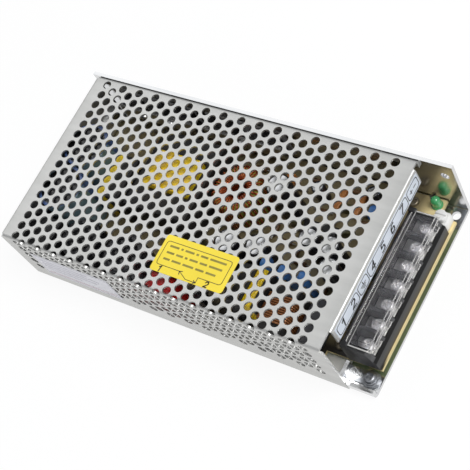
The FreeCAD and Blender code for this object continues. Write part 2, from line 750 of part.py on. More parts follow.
def make_sheet():
    """Thin insulating sheet that lies on the chassis floor."""
    x0 = COVER_REAR + SHEET_REAR
    z0 = CHASSIS_THICK
    x1 = FRONT_X - SHEET_FRONT
    sheet = box(x0, x1, LIP_IN + CHASSIS_FOLD, FAR_IN - CHASSIS_FOLD, z0, z0 + SHEET_THICK)
    holes = [stud(x, y, z0 - 1, z0 + 1, STANDOFF_RADIUS + SCREW_PLAY, HOLE_FLATS)
             for x, y in standoff_places()]
    return sheet.cut(Part.Compound(holes))


def make_standoffs():
    """Four six-sided posts between the floor and the board."""
    posts = []
    for x, y in standoff_places():
        post = stud(x, y, CHASSIS_THICK, BOARD_BOTTOM, STANDOFF_RADIUS, HOLE_FLATS)
        posts.append(post.cut(screw_hole(x, y, CHASSIS_THICK, BOARD_BOTTOM)))
    return posts


def make_board_screws():
    """Four screws that hold the board to its posts."""
    return [screw(x, y, CHASSIS_THICK, BOARD_TOP, SCREW_HEAD_RADIUS, SCREW_HEAD_HEIGHT)
            for x, y in standoff_places()]


def make_terminal_block():
    """Moulded block: stepped body, ribs between the bays, end lugs for the hinge."""
    near = BLOCK_OFFSET - BLOCK_HALF
    far = BLOCK_OFFSET + BLOCK_HALF
    back_top = BOARD_TOP + BLOCK_BACK_HEIGHT
    ledge = BLOCK_TOP - BLOCK_LEDGE
    body = along_y([(BLOCK_BACK_X, BOARD_TOP, 0), (BLOCK_FRONT, BOARD_TOP, 0), (BLOCK_FRONT, ledge, 0),
                    (BLOCK_FRONT - BLOCK_LEDGE, BLOCK_TOP, 0), (BLOCK_BACK_X + BLOCK_BACK, BLOCK_TOP, 0),
                    (BLOCK_BACK_X + BLOCK_BACK, back_top, 0), (BLOCK_BACK_X, back_top, 0)], near, far)
    rib_foot = BLOCK_FRONT - RIB_SETBACK
    rib_back = BLOCK_BACK_X + HINGE_X + HINGE_RADIUS + FLAP_GAP
    rib = [(BLOCK_BACK_X + BLOCK_BACK, ledge, 0), (rib_foot, ledge, 0), (rib_foot - RIB_SLANT, RIB_TOP, 0),
           (rib_back, RIB_TOP, 0), (rib_back, back_top, 0), (BLOCK_BACK_X + BLOCK_BACK, back_top, 0)]
    pieces = [body]
    for k in range(TERMINALS + 1):
        y = BLOCK_OFFSET + (k - TERMINALS / 2) * TERMINAL_PITCH
        y0 = near if k == 0 else y - RIB_THICK / 2
        y1 = far if k == TERMINALS else y + RIB_THICK / 2
        pieces.append(along_y(rib, y0, y1))
    hinge_x = BLOCK_BACK_X + HINGE_X
    lug_half = HINGE_PIN_RADIUS + LUG_WALL
    for y0 in (near, far - LUG_THICK):
        pieces.append(box(hinge_x - lug_half, hinge_x + lug_half, y0, y0 + LUG_THICK,
                          back_top, HINGE_Z + lug_half))
    block = join(pieces)
    tools = []
    pocket = HINGE_PIN_LENGTH + 0.2
    bore = flat_bore(HINGE_PIN_RADIUS + HINGE_FIT)
    tools.append(stud_y(hinge_x, near + LUG_THICK - pocket, near + LUG_THICK + 1, HINGE_Z, bore, PIN_SIDES))
    tools.append(stud_y(hinge_x, far - LUG_THICK - 1, far - LUG_THICK + pocket, HINGE_Z, bore, PIN_SIDES))
    for y in TERMINAL_YS:
        tools.append(screw_hole(TERMINAL_X, y, BLOCK_TOP - TERMINAL_SCREW_REACH - SCREW_SHORT, BLOCK_TOP + 1))
    return block.cut(Part.Compound(tools))


def make_terminal_plates():
    """Contact plate in each bay."""
    plates = []
    half = (TERMINAL_PITCH - RIB_THICK) / 2 - PLATE_SIDE_GAP
    x0 = BLOCK_BACK_X + PLATE_START
    for y in TERMINAL_YS:
        plate = box(x0, x0 + PLATE_LENGTH, y - half, y + half, BLOCK_TOP, BLOCK_TOP + PLATE_THICK)
        plates.append(plate.cut(screw_hole(TERMINAL_X, y, BLOCK_TOP - 1, BLOCK_TOP + 2)))
    return plates


def make_terminal_washers():
    """Square wire clamp under each terminal screw."""
    washers = []
    z0 = BLOCK_TOP + PLATE_THICK
    half = CLAMP_SIZE / 2
    for y in TERMINAL_YS:
        washer = box(TERMINAL_X - half, TERMINAL_X + half, y - half, y + half, z0, z0 + CLAMP_THICK)
        washers.append(washer.cut(screw_hole(TERMINAL_X, y, z0 - 1, z0 + 2)))
    return washers


def make_terminal_screws():
    """Pan head screw of each terminal."""
    seat = BLOCK_TOP + PLATE_THICK + CLAMP_THICK
    low = BLOCK_TOP - TERMINAL_SCREW_REACH
    return [screw(TERMINAL_X, y, low, seat, TERMINAL_HEAD_RADIUS, TERMINAL_HEAD_HEIGHT) for y in TERMINAL_YS]


def make_terminal_cover():
    """Clear flap: plate with a raised panel and teeth, on a barrel with two hinge pins."""
    hinge_x = BLOCK_BACK_X + HINGE_X
    near = BLOCK_OFFSET - FLAP_HALF
    far = BLOCK_OFFSET + FLAP_HALF
    front = hinge_x + FLAP_LENGTH
    cut = FLAP_CORNER / 2
    plate = along_z([(hinge_x, near, 0), (front - cut, near, 0), (front, near + cut, 0),
                     (front, far - cut, 0), (front - cut, far, 0), (hinge_x, far, 0)],
                    FLAP_BOTTOM, FLAP_BOTTOM + FLAP_THICK)
    inset = FLAP_PANEL_INSET
    panel = box(hinge_x + inset, front - inset, near + inset, far - inset,
                FLAP_BOTTOM + FLAP_THICK, FLAP_BOTTOM + FLAP_THICK + FLAP_PANEL_RISE)
    barrel = stud_y(hinge_x, near, far, HINGE_Z, HINGE_RADIUS, PIN_SIDES)
    reach = HINGE_PIN_LENGTH + FLAP_END_PLAY
    pieces = [plate, panel, barrel]
    pieces.append(rod_y(hinge_x, near - reach, near, HINGE_Z, HINGE_PIN_RADIUS))
    pieces.append(rod_y(hinge_x, far, far + reach, HINGE_Z, HINGE_PIN_RADIUS))
    for y in TERMINAL_YS:
        pieces.append(box(front, front + TOOTH_LENGTH, y - TOOTH_WIDTH / 2, y + TOOTH_WIDTH / 2,
                          FLAP_BOTTOM, FLAP_BOTTOM + FLAP_THICK))
    return join(pieces)


def make_trimmer_body():
    """Square body of the output voltage adjuster."""
    x = TRIM_X
    half = TRIM_SIZE / 2
    body = rounded_block(x - half, x + half, TRIM_Y - half, TRIM_Y + half, BOARD_TOP,
                         BOARD_TOP + TRIM_HEIGHT, 1.0)
    deep = KNOB_STEM_LENGTH - KNOB_GAP + 0.2
    hole = stud(x, TRIM_Y, BOARD_TOP + TRIM_HEIGHT - deep, BOARD_TOP + TRIM_HEIGHT + 1,
                flat_bore(KNOB_STEM_RADIUS + KNOB_FIT), PIN_SIDES)
    return body.cut(hole)


def make_trimmer_knob():
    """Slotted knob that turns in the adjuster body."""
    x = TRIM_X
    z0 = BOARD_TOP + TRIM_HEIGHT + KNOB_GAP
    z1 = z0 + KNOB_HEIGHT
    knob = stud(x, TRIM_Y, z0, z1, KNOB_RADIUS, 12)
    knob = knob.fuse(rod(x, TRIM_Y, z0 - KNOB_STEM_LENGTH, z0, KNOB_STEM_RADIUS))
    slot = box(x - KNOB_RADIUS, x + KNOB_RADIUS, TRIM_Y - KNOB_SLOT / 2, TRIM_Y + KNOB_SLOT / 2,
               z1 - KNOB_SLOT, z1 + 1)
    return knob.cut(slot)


def make_led():
    """Round lamp with a rim and a domed end."""
    z0 = BOARD_TOP
    z1 = z0 + LED_HEIGHT
    r = LED_RADIUS
    rings = [(z0 + LED_RIM_HEIGHT, r), (z1 - r, r), (z1 - 0.35 * r, 0.76 * r), (z1, 0.3 * r)]
    dome = stack([ring_points(V(LED_X, LED_Y, z), "z", radius, 10) for z, radius in rings])
    return dome.fuse(stud(LED_X, LED_Y, z0, z0 + LED_RIM_HEIGHT, r + LED_RIM, 10))


def make_earth_lug():
    """Forked earth plate under the earth screw."""
    x = EARTH_X
    y = EARTH_Y
    z0 = CHASSIS_THICK
    z1 = z0 + EARTH_PLATE_THICK
    half = EARTH_FORK_WIDTH / 2
    tail = x - EARTH_FORK_REACH
    fork = along_z([(x, y - half, 0), (x, y + half, 0), (tail, y + half, 0),
                    (tail + EARTH_FORK_NOTCH, y, 0), (tail, y - half, 0)], z0, z1)
    plate = stud(x, y, z0, z1, EARTH_PLATE_RADIUS, 12)
    return plate.fuse(fork).removeSplitter().cut(screw_hole(x, y, z0 - 1, z1 + 1))


def make_earth_washers():
    """Flat washer and spring washer under the earth screw."""
    x = EARTH_X
    y = EARTH_Y
    z0 = CHASSIS_THICK + EARTH_PLATE_THICK
    washers = []
    for k in range(2):
        radius = WASHER_RADIUS - 0.8 * k
        low = z0 + k * WASHER_THICK
        washer = stud(x, y, low, low + WASHER_THICK, radius, 10)
        washers.append(washer.cut(screw_hole(x, y, low - 1, low + 2)))
    return washers


def make_earth_screw():
    """Earth screw through the washers and the lug into the floor."""
    x = EARTH_X
    y = EARTH_Y
    z0 = CHASSIS_THICK + EARTH_PLATE_THICK + 2 * WASHER_THICK
    return screw(x, y, SCREW_SHORT, z0, SCREW_HEAD_RADIUS, SCREW_HEAD_HEIGHT)


def selector_z():
    """Middle height of the selector's slider."""
    return BOARD_TOP + SELECTOR_HEIGHT - SLIDER_DROP


def make_selector_body():
    """Selector switch housing with a slot for its slider."""
    x0 = along(SELECTOR_X)
    y0 = BOARD_NEAR + NEAR_ROW_GAP
    body = box(x0, x0 + SELECTOR_LENGTH, y0, y0 + SELECTOR_DEPTH, BOARD_TOP, BOARD_TOP + SELECTOR_HEIGHT)
    middle = x0 + SELECTOR_LENGTH / 2
    half = (SLIDER_WIDTH + SLIDER_TRAVEL) / 2 + SELECTOR_PLAY
    tall = SLIDER_TALL / 2 + SELECTOR_PLAY
    slot = box(middle - half, middle + half, y0 - 1, y0 + SLIDER_DEPTH - SLIDER_STANDOUT + SELECTOR_PLAY,
               selector_z() - tall, selector_z() + tall)
    return body.cut(slot)


def make_selector_slider():
    """Slider of the selector, at the middle of its travel."""
    middle = along(SELECTOR_X) + SELECTOR_LENGTH / 2
    y0 = BOARD_NEAR + NEAR_ROW_GAP - SLIDER_STANDOUT
    slider = box(middle - SLIDER_WIDTH / 2, middle + SLIDER_WIDTH / 2, y0, y0 + SLIDER_DEPTH,
                 selector_z() - SLIDER_TALL / 2, selector_z() + SLIDER_TALL / 2)
    groove = box(middle - KNOB_SLOT / 2, middle + KNOB_SLOT / 2, y0 - 1, y0 + KNOB_SLOT,
                 selector_z() - SLIDER_TALL, selector_z() + SLIDER_TALL)
    return slider.cut(groove)


def make_main_capacitors():
    """Two large capacitors side by side at the rear."""
    cans = []
    radius = MAIN_CAP_RADIUS * ROUND_FIT
    for side in (-1, 1):
        y = across(MAIN_CAP_Y) + side * (radius + MAIN_CAP_GAP / 2)
        cans.append(can(along(MAIN_CAP_X), y, MAIN_CAP_HEIGHT, radius, MAIN_CAP_SHOULDER, PIN_SIDES))
    return cans


def make_line_capacitors():
    """Two capacitors along the near edge."""
    cans = []
    radius = LINE_CAP_RADIUS * ROUND_FIT
    for k in range(2):
        x = along(LINE_CAP_X + k * LINE_CAP_SPACING)
        cans.append(can(x, BOARD_NEAR + radius, LINE_CAP_HEIGHT, radius, MAIN_CAP_SHOULDER, PIN_SIDES))
    return cans


def make_output_capacitors():
    """Tall output capacitors, standing on the board."""
    return [stud(along(x), across(y), BOARD_TOP, BOARD_TOP + OUTPUT_CAP_HEIGHT, radius * ROUND_FIT, 12)
            for x, y, radius in OUTPUT_CAP_PLACES]


def make_small_capacitors():
    """Low capacitors of one size."""
    return [stud(along(x), across(y), BOARD_TOP, BOARD_TOP + SMALL_CAP_HEIGHT, SMALL_CAP_RADIUS * ROUND_FIT)
            for x, y in SMALL_CAP_PLACES]


def make_rear_block():
    """Film capacitor in the near rear corner."""
    x0 = along(REAR_BLOCK_X)
    y0 = BOARD_NEAR + NEAR_ROW_GAP
    return box(x0, x0 + REAR_BLOCK_LENGTH * LENGTH_FIT, y0, y0 + REAR_BLOCK_WIDTH * WIDTH_FIT,
               BOARD_TOP, BOARD_TOP + REAR_BLOCK_HEIGHT)


def make_line_film():
    """Film capacitor beside the line filter."""
    x0 = along(LINE_FILM_X)
    y0 = BOARD_NEAR + LINE_FILM_INSET
    return box(x0, x0 + LINE_FILM_LENGTH * LENGTH_FIT, y0, y0 + LINE_FILM_WIDTH * WIDTH_FIT,
               BOARD_TOP, BOARD_TOP + LINE_FILM_HEIGHT)


def make_aux_coil():
    """Taped coil of the auxiliary transformer."""
    x0 = along(AUX_X)
    x1 = x0 + AUX_COIL * LENGTH_FIT
    half = AUX_WIDTH / 2
    return rounded_block(x0, x1, across(AUX_Y - half), across(AUX_Y + half),
                         BOARD_TOP, BOARD_TOP + AUX_HEIGHT, AUX_ROUND)


def make_aux_core():
    """Ferrite core of the auxiliary transformer."""
    x0 = along(AUX_X) + AUX_COIL * LENGTH_FIT + CORE_FIT
    x1 = x0 + AUX_CORE * LENGTH_FIT
    half = AUX_WIDTH / 2
    return box(x0, x1, across(AUX_Y - half), across(AUX_Y + half), BOARD_TOP, BOARD_TOP + AUX_HEIGHT)


def main_coil_corners():
    """Plan corners of the main coil."""
    x0 = along(MAIN_COIL_X)
    return (x0, x0 + MAIN_COIL_LENGTH * LENGTH_FIT,
            across(MAIN_COIL_Y), across(MAIN_COIL_Y + MAIN_COIL_WIDTH))


def make_main_coil():
    """Taped coil of the main transformer."""
    x0, x1, y0, y1 = main_coil_corners()
    return rounded_block(x0, x1, y0, y1, BOARD_TOP, BOARD_TOP + MAIN_COIL_HEIGHT, MAIN_COIL_ROUND)


def make_main_core():
    """Ferrite core that frames the main coil."""
    x0, x1, y0, y1 = main_coil_corners()
    x0 -= CORE_FIT
    x1 += CORE_FIT
    y0 -= CORE_FIT
    y1 += CORE_FIT
    z0 = BOARD_TOP + MAIN_CORE_LIFT
    z1 = z0 + MAIN_CORE_HEIGHT
    leg = MAIN_LEG * LENGTH_FIT
    yoke = MAIN_YOKE * WIDTH_FIT
    frame = box(x0 - leg, x1 + leg, y0 - yoke, y1 + yoke, z0, z1)
    return frame.cut(box(x0, x1, y0, y1, z0 - 1, z1 + 1))


def make_choke_core():
    """Ring core of the output choke."""
    x = along(CHOKE_X)
    y = across(CHOKE_Y)
    z0 = BOARD_TOP + CHOKE_WIRE + CORE_FIT
    z1 = z0 + CHOKE_CORE_HEIGHT
    ring = stud(x, y, z0, z1, CHOKE_CORE_OUT * ROUND_FIT, CHOKE_SIDES)
    return ring.cut(stud(x, y, z0, z1, CHOKE_CORE_IN * ROUND_FIT, CHOKE_SIDES))


def make_choke_turns():
    """Wire turns round the ring core."""
    x = along(CHOKE_X)
    z0 = BOARD_TOP
    z1 = z0 + CHOKE_CORE_HEIGHT + 2 * (CHOKE_WIRE + CORE_FIT)
    turns = []
    inner = CHOKE_CORE_IN * ROUND_FIT * math.cos(math.pi / CHOKE_SIDES) - CORE_FIT
    outer = CHOKE_CORE_OUT * ROUND_FIT + CORE_FIT
    half = CHOKE_WIRE / 2
    for k in range(CHOKE_TURNS):
        turn = box(inner - CHOKE_WIRE, outer + CHOKE_WIRE, -half, half, z0, z1)
        turn = turn.cut(box(inner, outer, -CHOKE_WIRE, CHOKE_WIRE, z0 + CHOKE_WIRE, z1 - CHOKE_WIRE))
        turn.rotate(V(0, 0, 0), V(0, 0, 1), 360.0 * k / CHOKE_TURNS)
        turn.translate(V(x, across(CHOKE_Y), 0))
        turns.append(turn)
    return turns


def driver_corners():
    """Plan corners of the driver transformer's coil."""
    x0 = along(DRIVER_X + DRIVER_COIL_X)
    return x0, x0 + DRIVER_COIL * LENGTH_FIT, across(DRIVER_Y), across(DRIVER_Y + DRIVER_WIDTH)


def make_driver_core():
    """Ferrite core of the driver transformer: two faces joined through and under the coil."""
    x0, x1, y0, y1 = driver_corners()
    z0 = BOARD_TOP
    z1 = z0 + DRIVER_LIFT + DRIVER_HEIGHT
    rear_face = box(along(DRIVER_X), x0 - CORE_FIT, y0, y1, z0, z1)
    front_face = box(x1 + CORE_FIT, x1 + CORE_FIT + DRIVER_FRONT, y0, y1, z0, z1)
    foot = box(x0 - CORE_FIT, x1 + CORE_FIT, y0, y1, z0, z0 + DRIVER_LIFT)
    half = DRIVER_LEG / 2
    y = (y0 + y1) / 2
    z = (z0 + DRIVER_LIFT + z1) / 2
    leg = box(x0 - CORE_FIT, x1 + CORE_FIT, y - half, y + half, z - half, z + half)
    return join([rear_face, front_face, foot, leg])


def make_driver_coil():
    """Taped coil of the driver transformer, round the middle leg of its core."""
    x0, x1, y0, y1 = driver_corners()
    z0 = BOARD_TOP + DRIVER_LIFT
    z1 = z0 + DRIVER_HEIGHT
    half = DRIVER_LEG / 2 + CORE_FIT
    y = (y0 + y1) / 2
    z = (z0 + z1) / 2
    coil = box(x0, x1, y0, y1, z0, z1)
    return coil.cut(box(x0 - 1, x1 + 1, y - half, y + half, z - half, z + half))


def filter_corners():
    """Plan corners of the line filter's core."""
    x0 = along(FILTER_X)
    y0 = BOARD_NEAR + NEAR_ROW_GAP
    return x0, x0 + FILTER_LENGTH * LENGTH_FIT, y0, y0 + FILTER_WIDTH * WIDTH_FIT


def make_filter_core():
    """Rectangular ring core of the line filter."""
    x0, x1, y0, y1 = filter_corners()
    z0 = BOARD_TOP + FILTER_WIRE + CORE_FIT
    z1 = z0 + FILTER_HEIGHT
    leg = FILTER_LEG * LENGTH_FIT
    ring = box(x0, x1, y0, y1, z0, z1)
    return ring.cut(box(x0 + leg, x1 - leg, y0 + FILTER_YOKE, y1 - FILTER_YOKE, z0 - 1, z1 + 1))


def make_filter_coils():
    """Two wire coils, one on each long leg of the line filter."""
    coils = []
    core_x0, core_x1, y0, y1 = filter_corners()
    leg = FILTER_LEG * LENGTH_FIT
    y0 += FILTER_YOKE + CORE_FIT
    y1 -= FILTER_YOKE + CORE_FIT
    z0 = BOARD_TOP
    z1 = z0 + FILTER_HEIGHT + 2 * (FILTER_WIRE + CORE_FIT)
    wire = FILTER_WIRE * LENGTH_FIT
    for leg_x in (core_x0, core_x1 - leg):
        x0 = leg_x - CORE_FIT
        x1 = leg_x + leg + CORE_FIT
        coil = box(x0 - wire, x1 + wire, y0, y1, z0, z1)
        coils.append(coil.cut(box(x0, x1, y0 - 1, y1 + 1, z0 + FILTER_WIRE, z1 - FILTER_WIRE)))
    return coils


def disc_part(x, y, lift):
    """Disc on its edge, on a flat foot of lead wires."""
    z = BOARD_TOP + lift + DISC_RADIUS
    thick = DISC_THICK * LENGTH_FIT
    disc = stud_x(x - thick / 2, x + thick / 2, y, z, DISC_RADIUS * WIDTH_FIT)
    half = DISC_RADIUS * WIDTH_FIT / 2
    foot = box(x - thick / 8, x + thick / 8, y - half, y + half, BOARD_TOP, z - half)
    return disc.fuse(foot)


def make_discs():
    """Disc capacitors on long leads."""
    return [disc_part(along(x), across(y), DISC_LIFT) for x, y in DISC_PLACES]


def make_thermistor():
    """Disc that limits the inrush current, by the near edge of the board."""
    return disc_part(along(THERMISTOR_X), BOARD_NEAR + THERMISTOR_INSET, THERMISTOR_LIFT)


def make_resistors():
    """Power resistors lying on the board."""
    bodies = []
    half_x = RESISTOR_WIDTH * LENGTH_FIT / 2
    half_y = RESISTOR_LENGTH * WIDTH_FIT / 2
    for place_x, place_y in RESISTOR_PLACES:
        x = along(place_x)
        y = across(place_y)
        bodies.append(box(x - half_x, x + half_x, y - half_y, y + half_y, BOARD_TOP, BOARD_TOP + RESISTOR_WIDTH))
    return bodies


def make_chip():
    """Control chip."""
    half_x = CHIP_LENGTH * LENGTH_FIT / 2
    half_y = CHIP_WIDTH * WIDTH_FIT / 2
    x = along(CHIP_X)
    y = across(CHIP_Y)
    return box(x - half_x, x + half_x, y - half_y, y + half_y, BOARD_TOP, BOARD_TOP + CHIP_HEIGHT)


def fuse_z():
    """Height of the fuse's middle line."""
    return BOARD_TOP + FUSE_LIFT + FUSE_RADIUS


def fuse_ends():
    """Ends of the fuse across the board."""
    return across(FUSE_Y - FUSE_LENGTH / 2), across(FUSE_Y + FUSE_LENGTH / 2)


def make_fuse():
    """Glass tube fuse lying across the board."""
    y0, y1 = fuse_ends()
    return stud_y(FUSE_X, y0, y1, fuse_z(), FUSE_RADIUS)


def make_fuse_clips():
    """Two U-shaped clips that hold the fuse."""
    clips = []
    x = FUSE_X
    inner = FUSE_RADIUS + SCREW_PLAY
    outer = inner + CLIP_WALL
    floor = BOARD_TOP + FUSE_LIFT - SCREW_PLAY
    high = fuse_z() + CLIP_RISE
    y0, y1 = fuse_ends()
    for start in (y0, y1 - CLIP_LENGTH):
        clips.append(along_y([(x - outer, BOARD_TOP, 0), (x + outer, BOARD_TOP, 0), (x + outer, high, 0),
                              (x + inner, high, 0), (x + inner, floor, 0), (x - inner, floor, 0),
                              (x - inner, high, 0), (x - outer, high, 0)],
                             start, start + CLIP_LENGTH))
    return clips


def make_pads():
    """Insulating pads on the far wall."""
    pads = []
    for x in PAD_PLACES:
        pad = box(along(x), along(x + PAD_LENGTH), FAR_IN - PAD_THICK, FAR_IN, PAD_BOTTOM, PAD_BOTTOM + PAD_HEIGHT)
        pads.append(pad.cut(Part.Compound(clamp_holes())))
    return pads


def clamp_holes():
    """Clearance holes for the clamp screws."""
    y0 = FAR_IN - PAD_THICK - DEVICE_DEPTH - CLAMP_DEPTH - 1
    return [stud_y(along(x), y0, HALF + 1, clamp_z(), SCREW_RADIUS + SCREW_PLAY, HOLE_FLATS)
            for x in CLAMP_SCREW_PLACES]


def wall_devices(places, width):
    """Flat power devices pressed on the pads."""
    y1 = FAR_IN - PAD_THICK
    z0 = clamp_z() - DEVICE_HEIGHT / 2
    return [box(along(x - width / 2), along(x + width / 2), y1 - DEVICE_DEPTH, y1, z0, z0 + DEVICE_HEIGHT)
            for x in places]


def make_clamp_bars():
    """Bars that press the power devices to the wall."""
    bars = []
    y1 = FAR_IN - PAD_THICK - DEVICE_DEPTH
    half = CLAMP_BAR_HEIGHT / 2
    for x in PAD_PLACES:
        bar = box(along(x), along(x + PAD_LENGTH), y1 - CLAMP_DEPTH, y1, clamp_z() - half, clamp_z() + half)
        bars.append(bar.cut(Part.Compound(clamp_holes())))
    return bars


def make_clamp_screws():
    """Screws through the clamp bars into the far wall."""
    screws = []
    y0 = FAR_IN - PAD_THICK - DEVICE_DEPTH - CLAMP_DEPTH
    for x in CLAMP_SCREW_PLACES:
        head = stud_y(along(x), y0 - SCREW_HEAD_HEIGHT, y0, clamp_z(), SCREW_HEAD_RADIUS)
        shank = stud_y(along(x), y0, HALF - SCREW_SHORT, clamp_z(), SCREW_RADIUS, HOLE_FLATS)
        screws.append(head.fuse(shank))
    return screws


def make_top_label():
    """Yellow sticker on the cover."""
    x0 = along(TOP_LABEL_X)
    y0 = -HALF + TOP_LABEL_INSET
    return rounded_block(x0, x0 + TOP_LABEL_LENGTH, y0, y0 + TOP_LABEL_WIDTH,
                         CASE_HEIGHT, CASE_HEIGHT + LABEL_THICK, TOP_LABEL_ROUND)


def make_side_label():
    """Pale sticker on the near wall."""
    x0 = along(SIDE_LABEL_X)
    return box(x0, x0 + SIDE_LABEL_LENGTH, -HALF - LABEL_THICK, -HALF,
               SIDE_LABEL_RISE, SIDE_LABEL_RISE + SIDE_LABEL_HEIGHT)


def make_strip_label():
    """Terminal strip sticker on the front flange."""
    z0 = FLANGE_BOTTOM + (FLANGE_HEIGHT - COVER_BEND - STRIP_HEIGHT) / 2
    return box(COVER_FRONT, COVER_FRONT + LABEL_THICK, FLANGE_NEAR + STRIP_MARGIN,
               FLANGE_FAR - STRIP_MARGIN, z0, z0 + STRIP_HEIGHT)


os.makedirs("parts", exist_ok=True)
nodes = {
    "chassis": make_chassis(),
    "cover": make_cover(),
    "cover_screws": make_cover_screws(),
    "circuit_board": make_board(),
    "insulation_sheet": make_sheet(),
    "board_standoffs": make_standoffs(),
    "board_screws": make_board_screws(),
    "terminal_block": make_terminal_block(),
    "terminal_plates": make_terminal_plates(),
    "terminal_washers": make_terminal_washers(),
    "terminal_screws": make_terminal_screws(),
    "terminal_cover": make_terminal_cover(),
    "trimmer_body": make_trimmer_body(),
    "trimmer_knob": make_trimmer_knob(),
    "power_led": make_led(),
    "earth_lug": make_earth_lug(),
    "earth_washers": make_earth_washers(),
    "earth_screw": make_earth_screw(),
    "selector_body": make_selector_body(),
    "selector_slider": make_selector_slider(),
    "main_capacitors": make_main_capacitors(),
    "line_capacitors": make_line_capacitors(),
    "output_capacitors": make_output_capacitors(),
    "small_capacitors": make_small_capacitors(),
    "rear_film_capacitor": make_rear_block(),
    "line_film_capacitor": make_line_film(),
    "aux_transformer_coil": make_aux_coil(),
    "aux_transformer_core": make_aux_core(),
    "main_transformer_coil": make_main_coil(),
    "main_transformer_core": make_main_core(),
    "output_choke_core": make_choke_core(),
    "output_choke_winding": make_choke_turns(),
    "driver_transformer_core": make_driver_core(),
    "driver_transformer_coil": make_driver_coil(),
    "line_filter_core": make_filter_core(),
    "line_filter_coils": make_filter_coils(),
    "disc_capacitors": make_discs(),
    "inrush_thermistor": make_thermistor(),
    "power_resistors": make_resistors(),
    "control_chip": make_chip(),
    "fuse_tube": make_fuse(),
    "fuse_clips": make_fuse_clips(),
    "insulating_pads": make_pads(),
    "switching_transistors": wall_devices(SWITCH_PLACES, SWITCH_WIDTH),
    "output_diodes": wall_devices(DIODE_PLACES, DIODE_WIDTH),
    "clamp_bars": make_clamp_bars(),
    "clamp_screws": make_clamp_screws(),
    "top_label": make_top_label(),
    "side_label": make_side_label(),
    "strip_label": make_strip_label(),
}
for name, shape in nodes.items():
    if isinstance(shape, list):
        shape = Part.Compound(shape)
    shape.exportStep("parts/" + name + ".step")
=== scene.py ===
import bpy
import math
from mathutils import Matrix, Vector


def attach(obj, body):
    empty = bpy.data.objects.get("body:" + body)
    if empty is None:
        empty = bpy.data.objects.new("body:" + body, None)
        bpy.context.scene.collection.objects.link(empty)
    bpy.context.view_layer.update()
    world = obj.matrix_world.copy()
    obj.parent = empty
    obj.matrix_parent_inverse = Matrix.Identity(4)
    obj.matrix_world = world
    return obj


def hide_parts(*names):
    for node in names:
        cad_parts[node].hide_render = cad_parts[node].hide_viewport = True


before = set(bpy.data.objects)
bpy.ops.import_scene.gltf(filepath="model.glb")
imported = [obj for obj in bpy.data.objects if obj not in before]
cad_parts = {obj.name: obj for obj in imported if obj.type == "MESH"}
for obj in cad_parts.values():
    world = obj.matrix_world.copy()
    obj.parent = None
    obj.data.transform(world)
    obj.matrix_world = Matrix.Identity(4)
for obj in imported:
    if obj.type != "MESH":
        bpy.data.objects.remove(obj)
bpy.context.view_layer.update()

# Mesh case switching power supply. Sizes and places are in millimetres, and MM turns them into metres.

MM = 0.001
REAR = -98.9
NEAR = -49.0
TOP = 38.2
BOARD_TOP = 6.6
TERMINAL_PITCH = 9.5
FIRST_TERMINAL = -31.9
INK = 0.03
WIRE = 0.95

# Ways of working on a piece


def clear_selection():
    """Leave edit mode with nothing selected."""
    if bpy.context.object and bpy.context.object.mode != "OBJECT":
        bpy.ops.object.mode_set(mode="OBJECT")
    bpy.ops.object.select_all(action="DESELECT")


def named(name):
    """Rename the new active object and give it back."""
    piece = bpy.context.object
    piece.name = name
    piece.data.name = name
    return piece


def settle(piece):
    """Put the object's place and size into its mesh."""
    clear_selection()
    piece.select_set(True)
    bpy.context.view_layer.objects.active = piece
    bpy.ops.object.transform_apply(location=True, rotation=True, scale=True)


def edit(piece, mode="VERT"):
    """Open one piece in edit mode with nothing selected."""
    clear_selection()
    piece.select_set(True)
    bpy.context.view_layer.objects.active = piece
    bpy.ops.object.mode_set(mode="EDIT")
    bpy.ops.mesh.select_mode(type=mode)
    bpy.ops.mesh.select_all(action="DESELECT")


def pick(piece, kind, test):
    """Select vertices, edges or faces by a test on their middle, in millimetres."""
    bpy.ops.object.mode_set(mode="OBJECT")
    mesh = piece.data
    parts = {"VERT": mesh.vertices, "EDGE": mesh.edges, "FACE": mesh.polygons}[kind]
    for group in (mesh.vertices, mesh.edges, mesh.polygons):
        group.foreach_set("select", [False] * len(group))
    for part in parts:
        if kind == "VERT":
            middle = part.co / MM
        elif kind == "EDGE":
            ends = [mesh.vertices[i].co for i in part.vertices]
            middle = (ends[0] + ends[1]) / 2 / MM
        else:
            middle = part.center / MM
        part.select = bool(test(middle, part))
    bpy.context.tool_settings.mesh_select_mode = (kind == "VERT", kind == "EDGE", kind == "FACE")
    bpy.ops.object.mode_set(mode="EDIT")
    bpy.ops.mesh.select_mode(type=kind)


def finish_modifier(piece, kind, **settings):
    """Add a modifier with these settings and apply it."""
    clear_selection()
    piece.select_set(True)
    bpy.context.view_layer.objects.active = piece
    modifier = piece.modifiers.new(kind.title(), kind)
    for key, value in settings.items():
        setattr(modifier, key, value)
    bpy.ops.object.modifier_apply(modifier=modifier.name)


def smooth(piece, angle):
    """Shade smooth, with edges sharper than the angle left hard."""
    clear_selection()
    piece.select_set(True)
    bpy.context.view_layer.objects.active = piece
    bpy.ops.object.shade_smooth_by_angle(angle=math.radians(angle))


def joined(pieces, name):
    """Several pieces made one."""
    clear_selection()
    for piece in pieces:
        piece.select_set(True)
    bpy.context.view_layer.objects.active = pieces[0]
    if len(pieces) > 1:
        bpy.ops.object.join()
    return named(name)


# Finishes


def new_material(name):
    material = bpy.data.materials.new(name)
    material.use_nodes = True
    tree = material.node_tree
    return material, tree.nodes, tree.links, tree.nodes["Principled BSDF"]


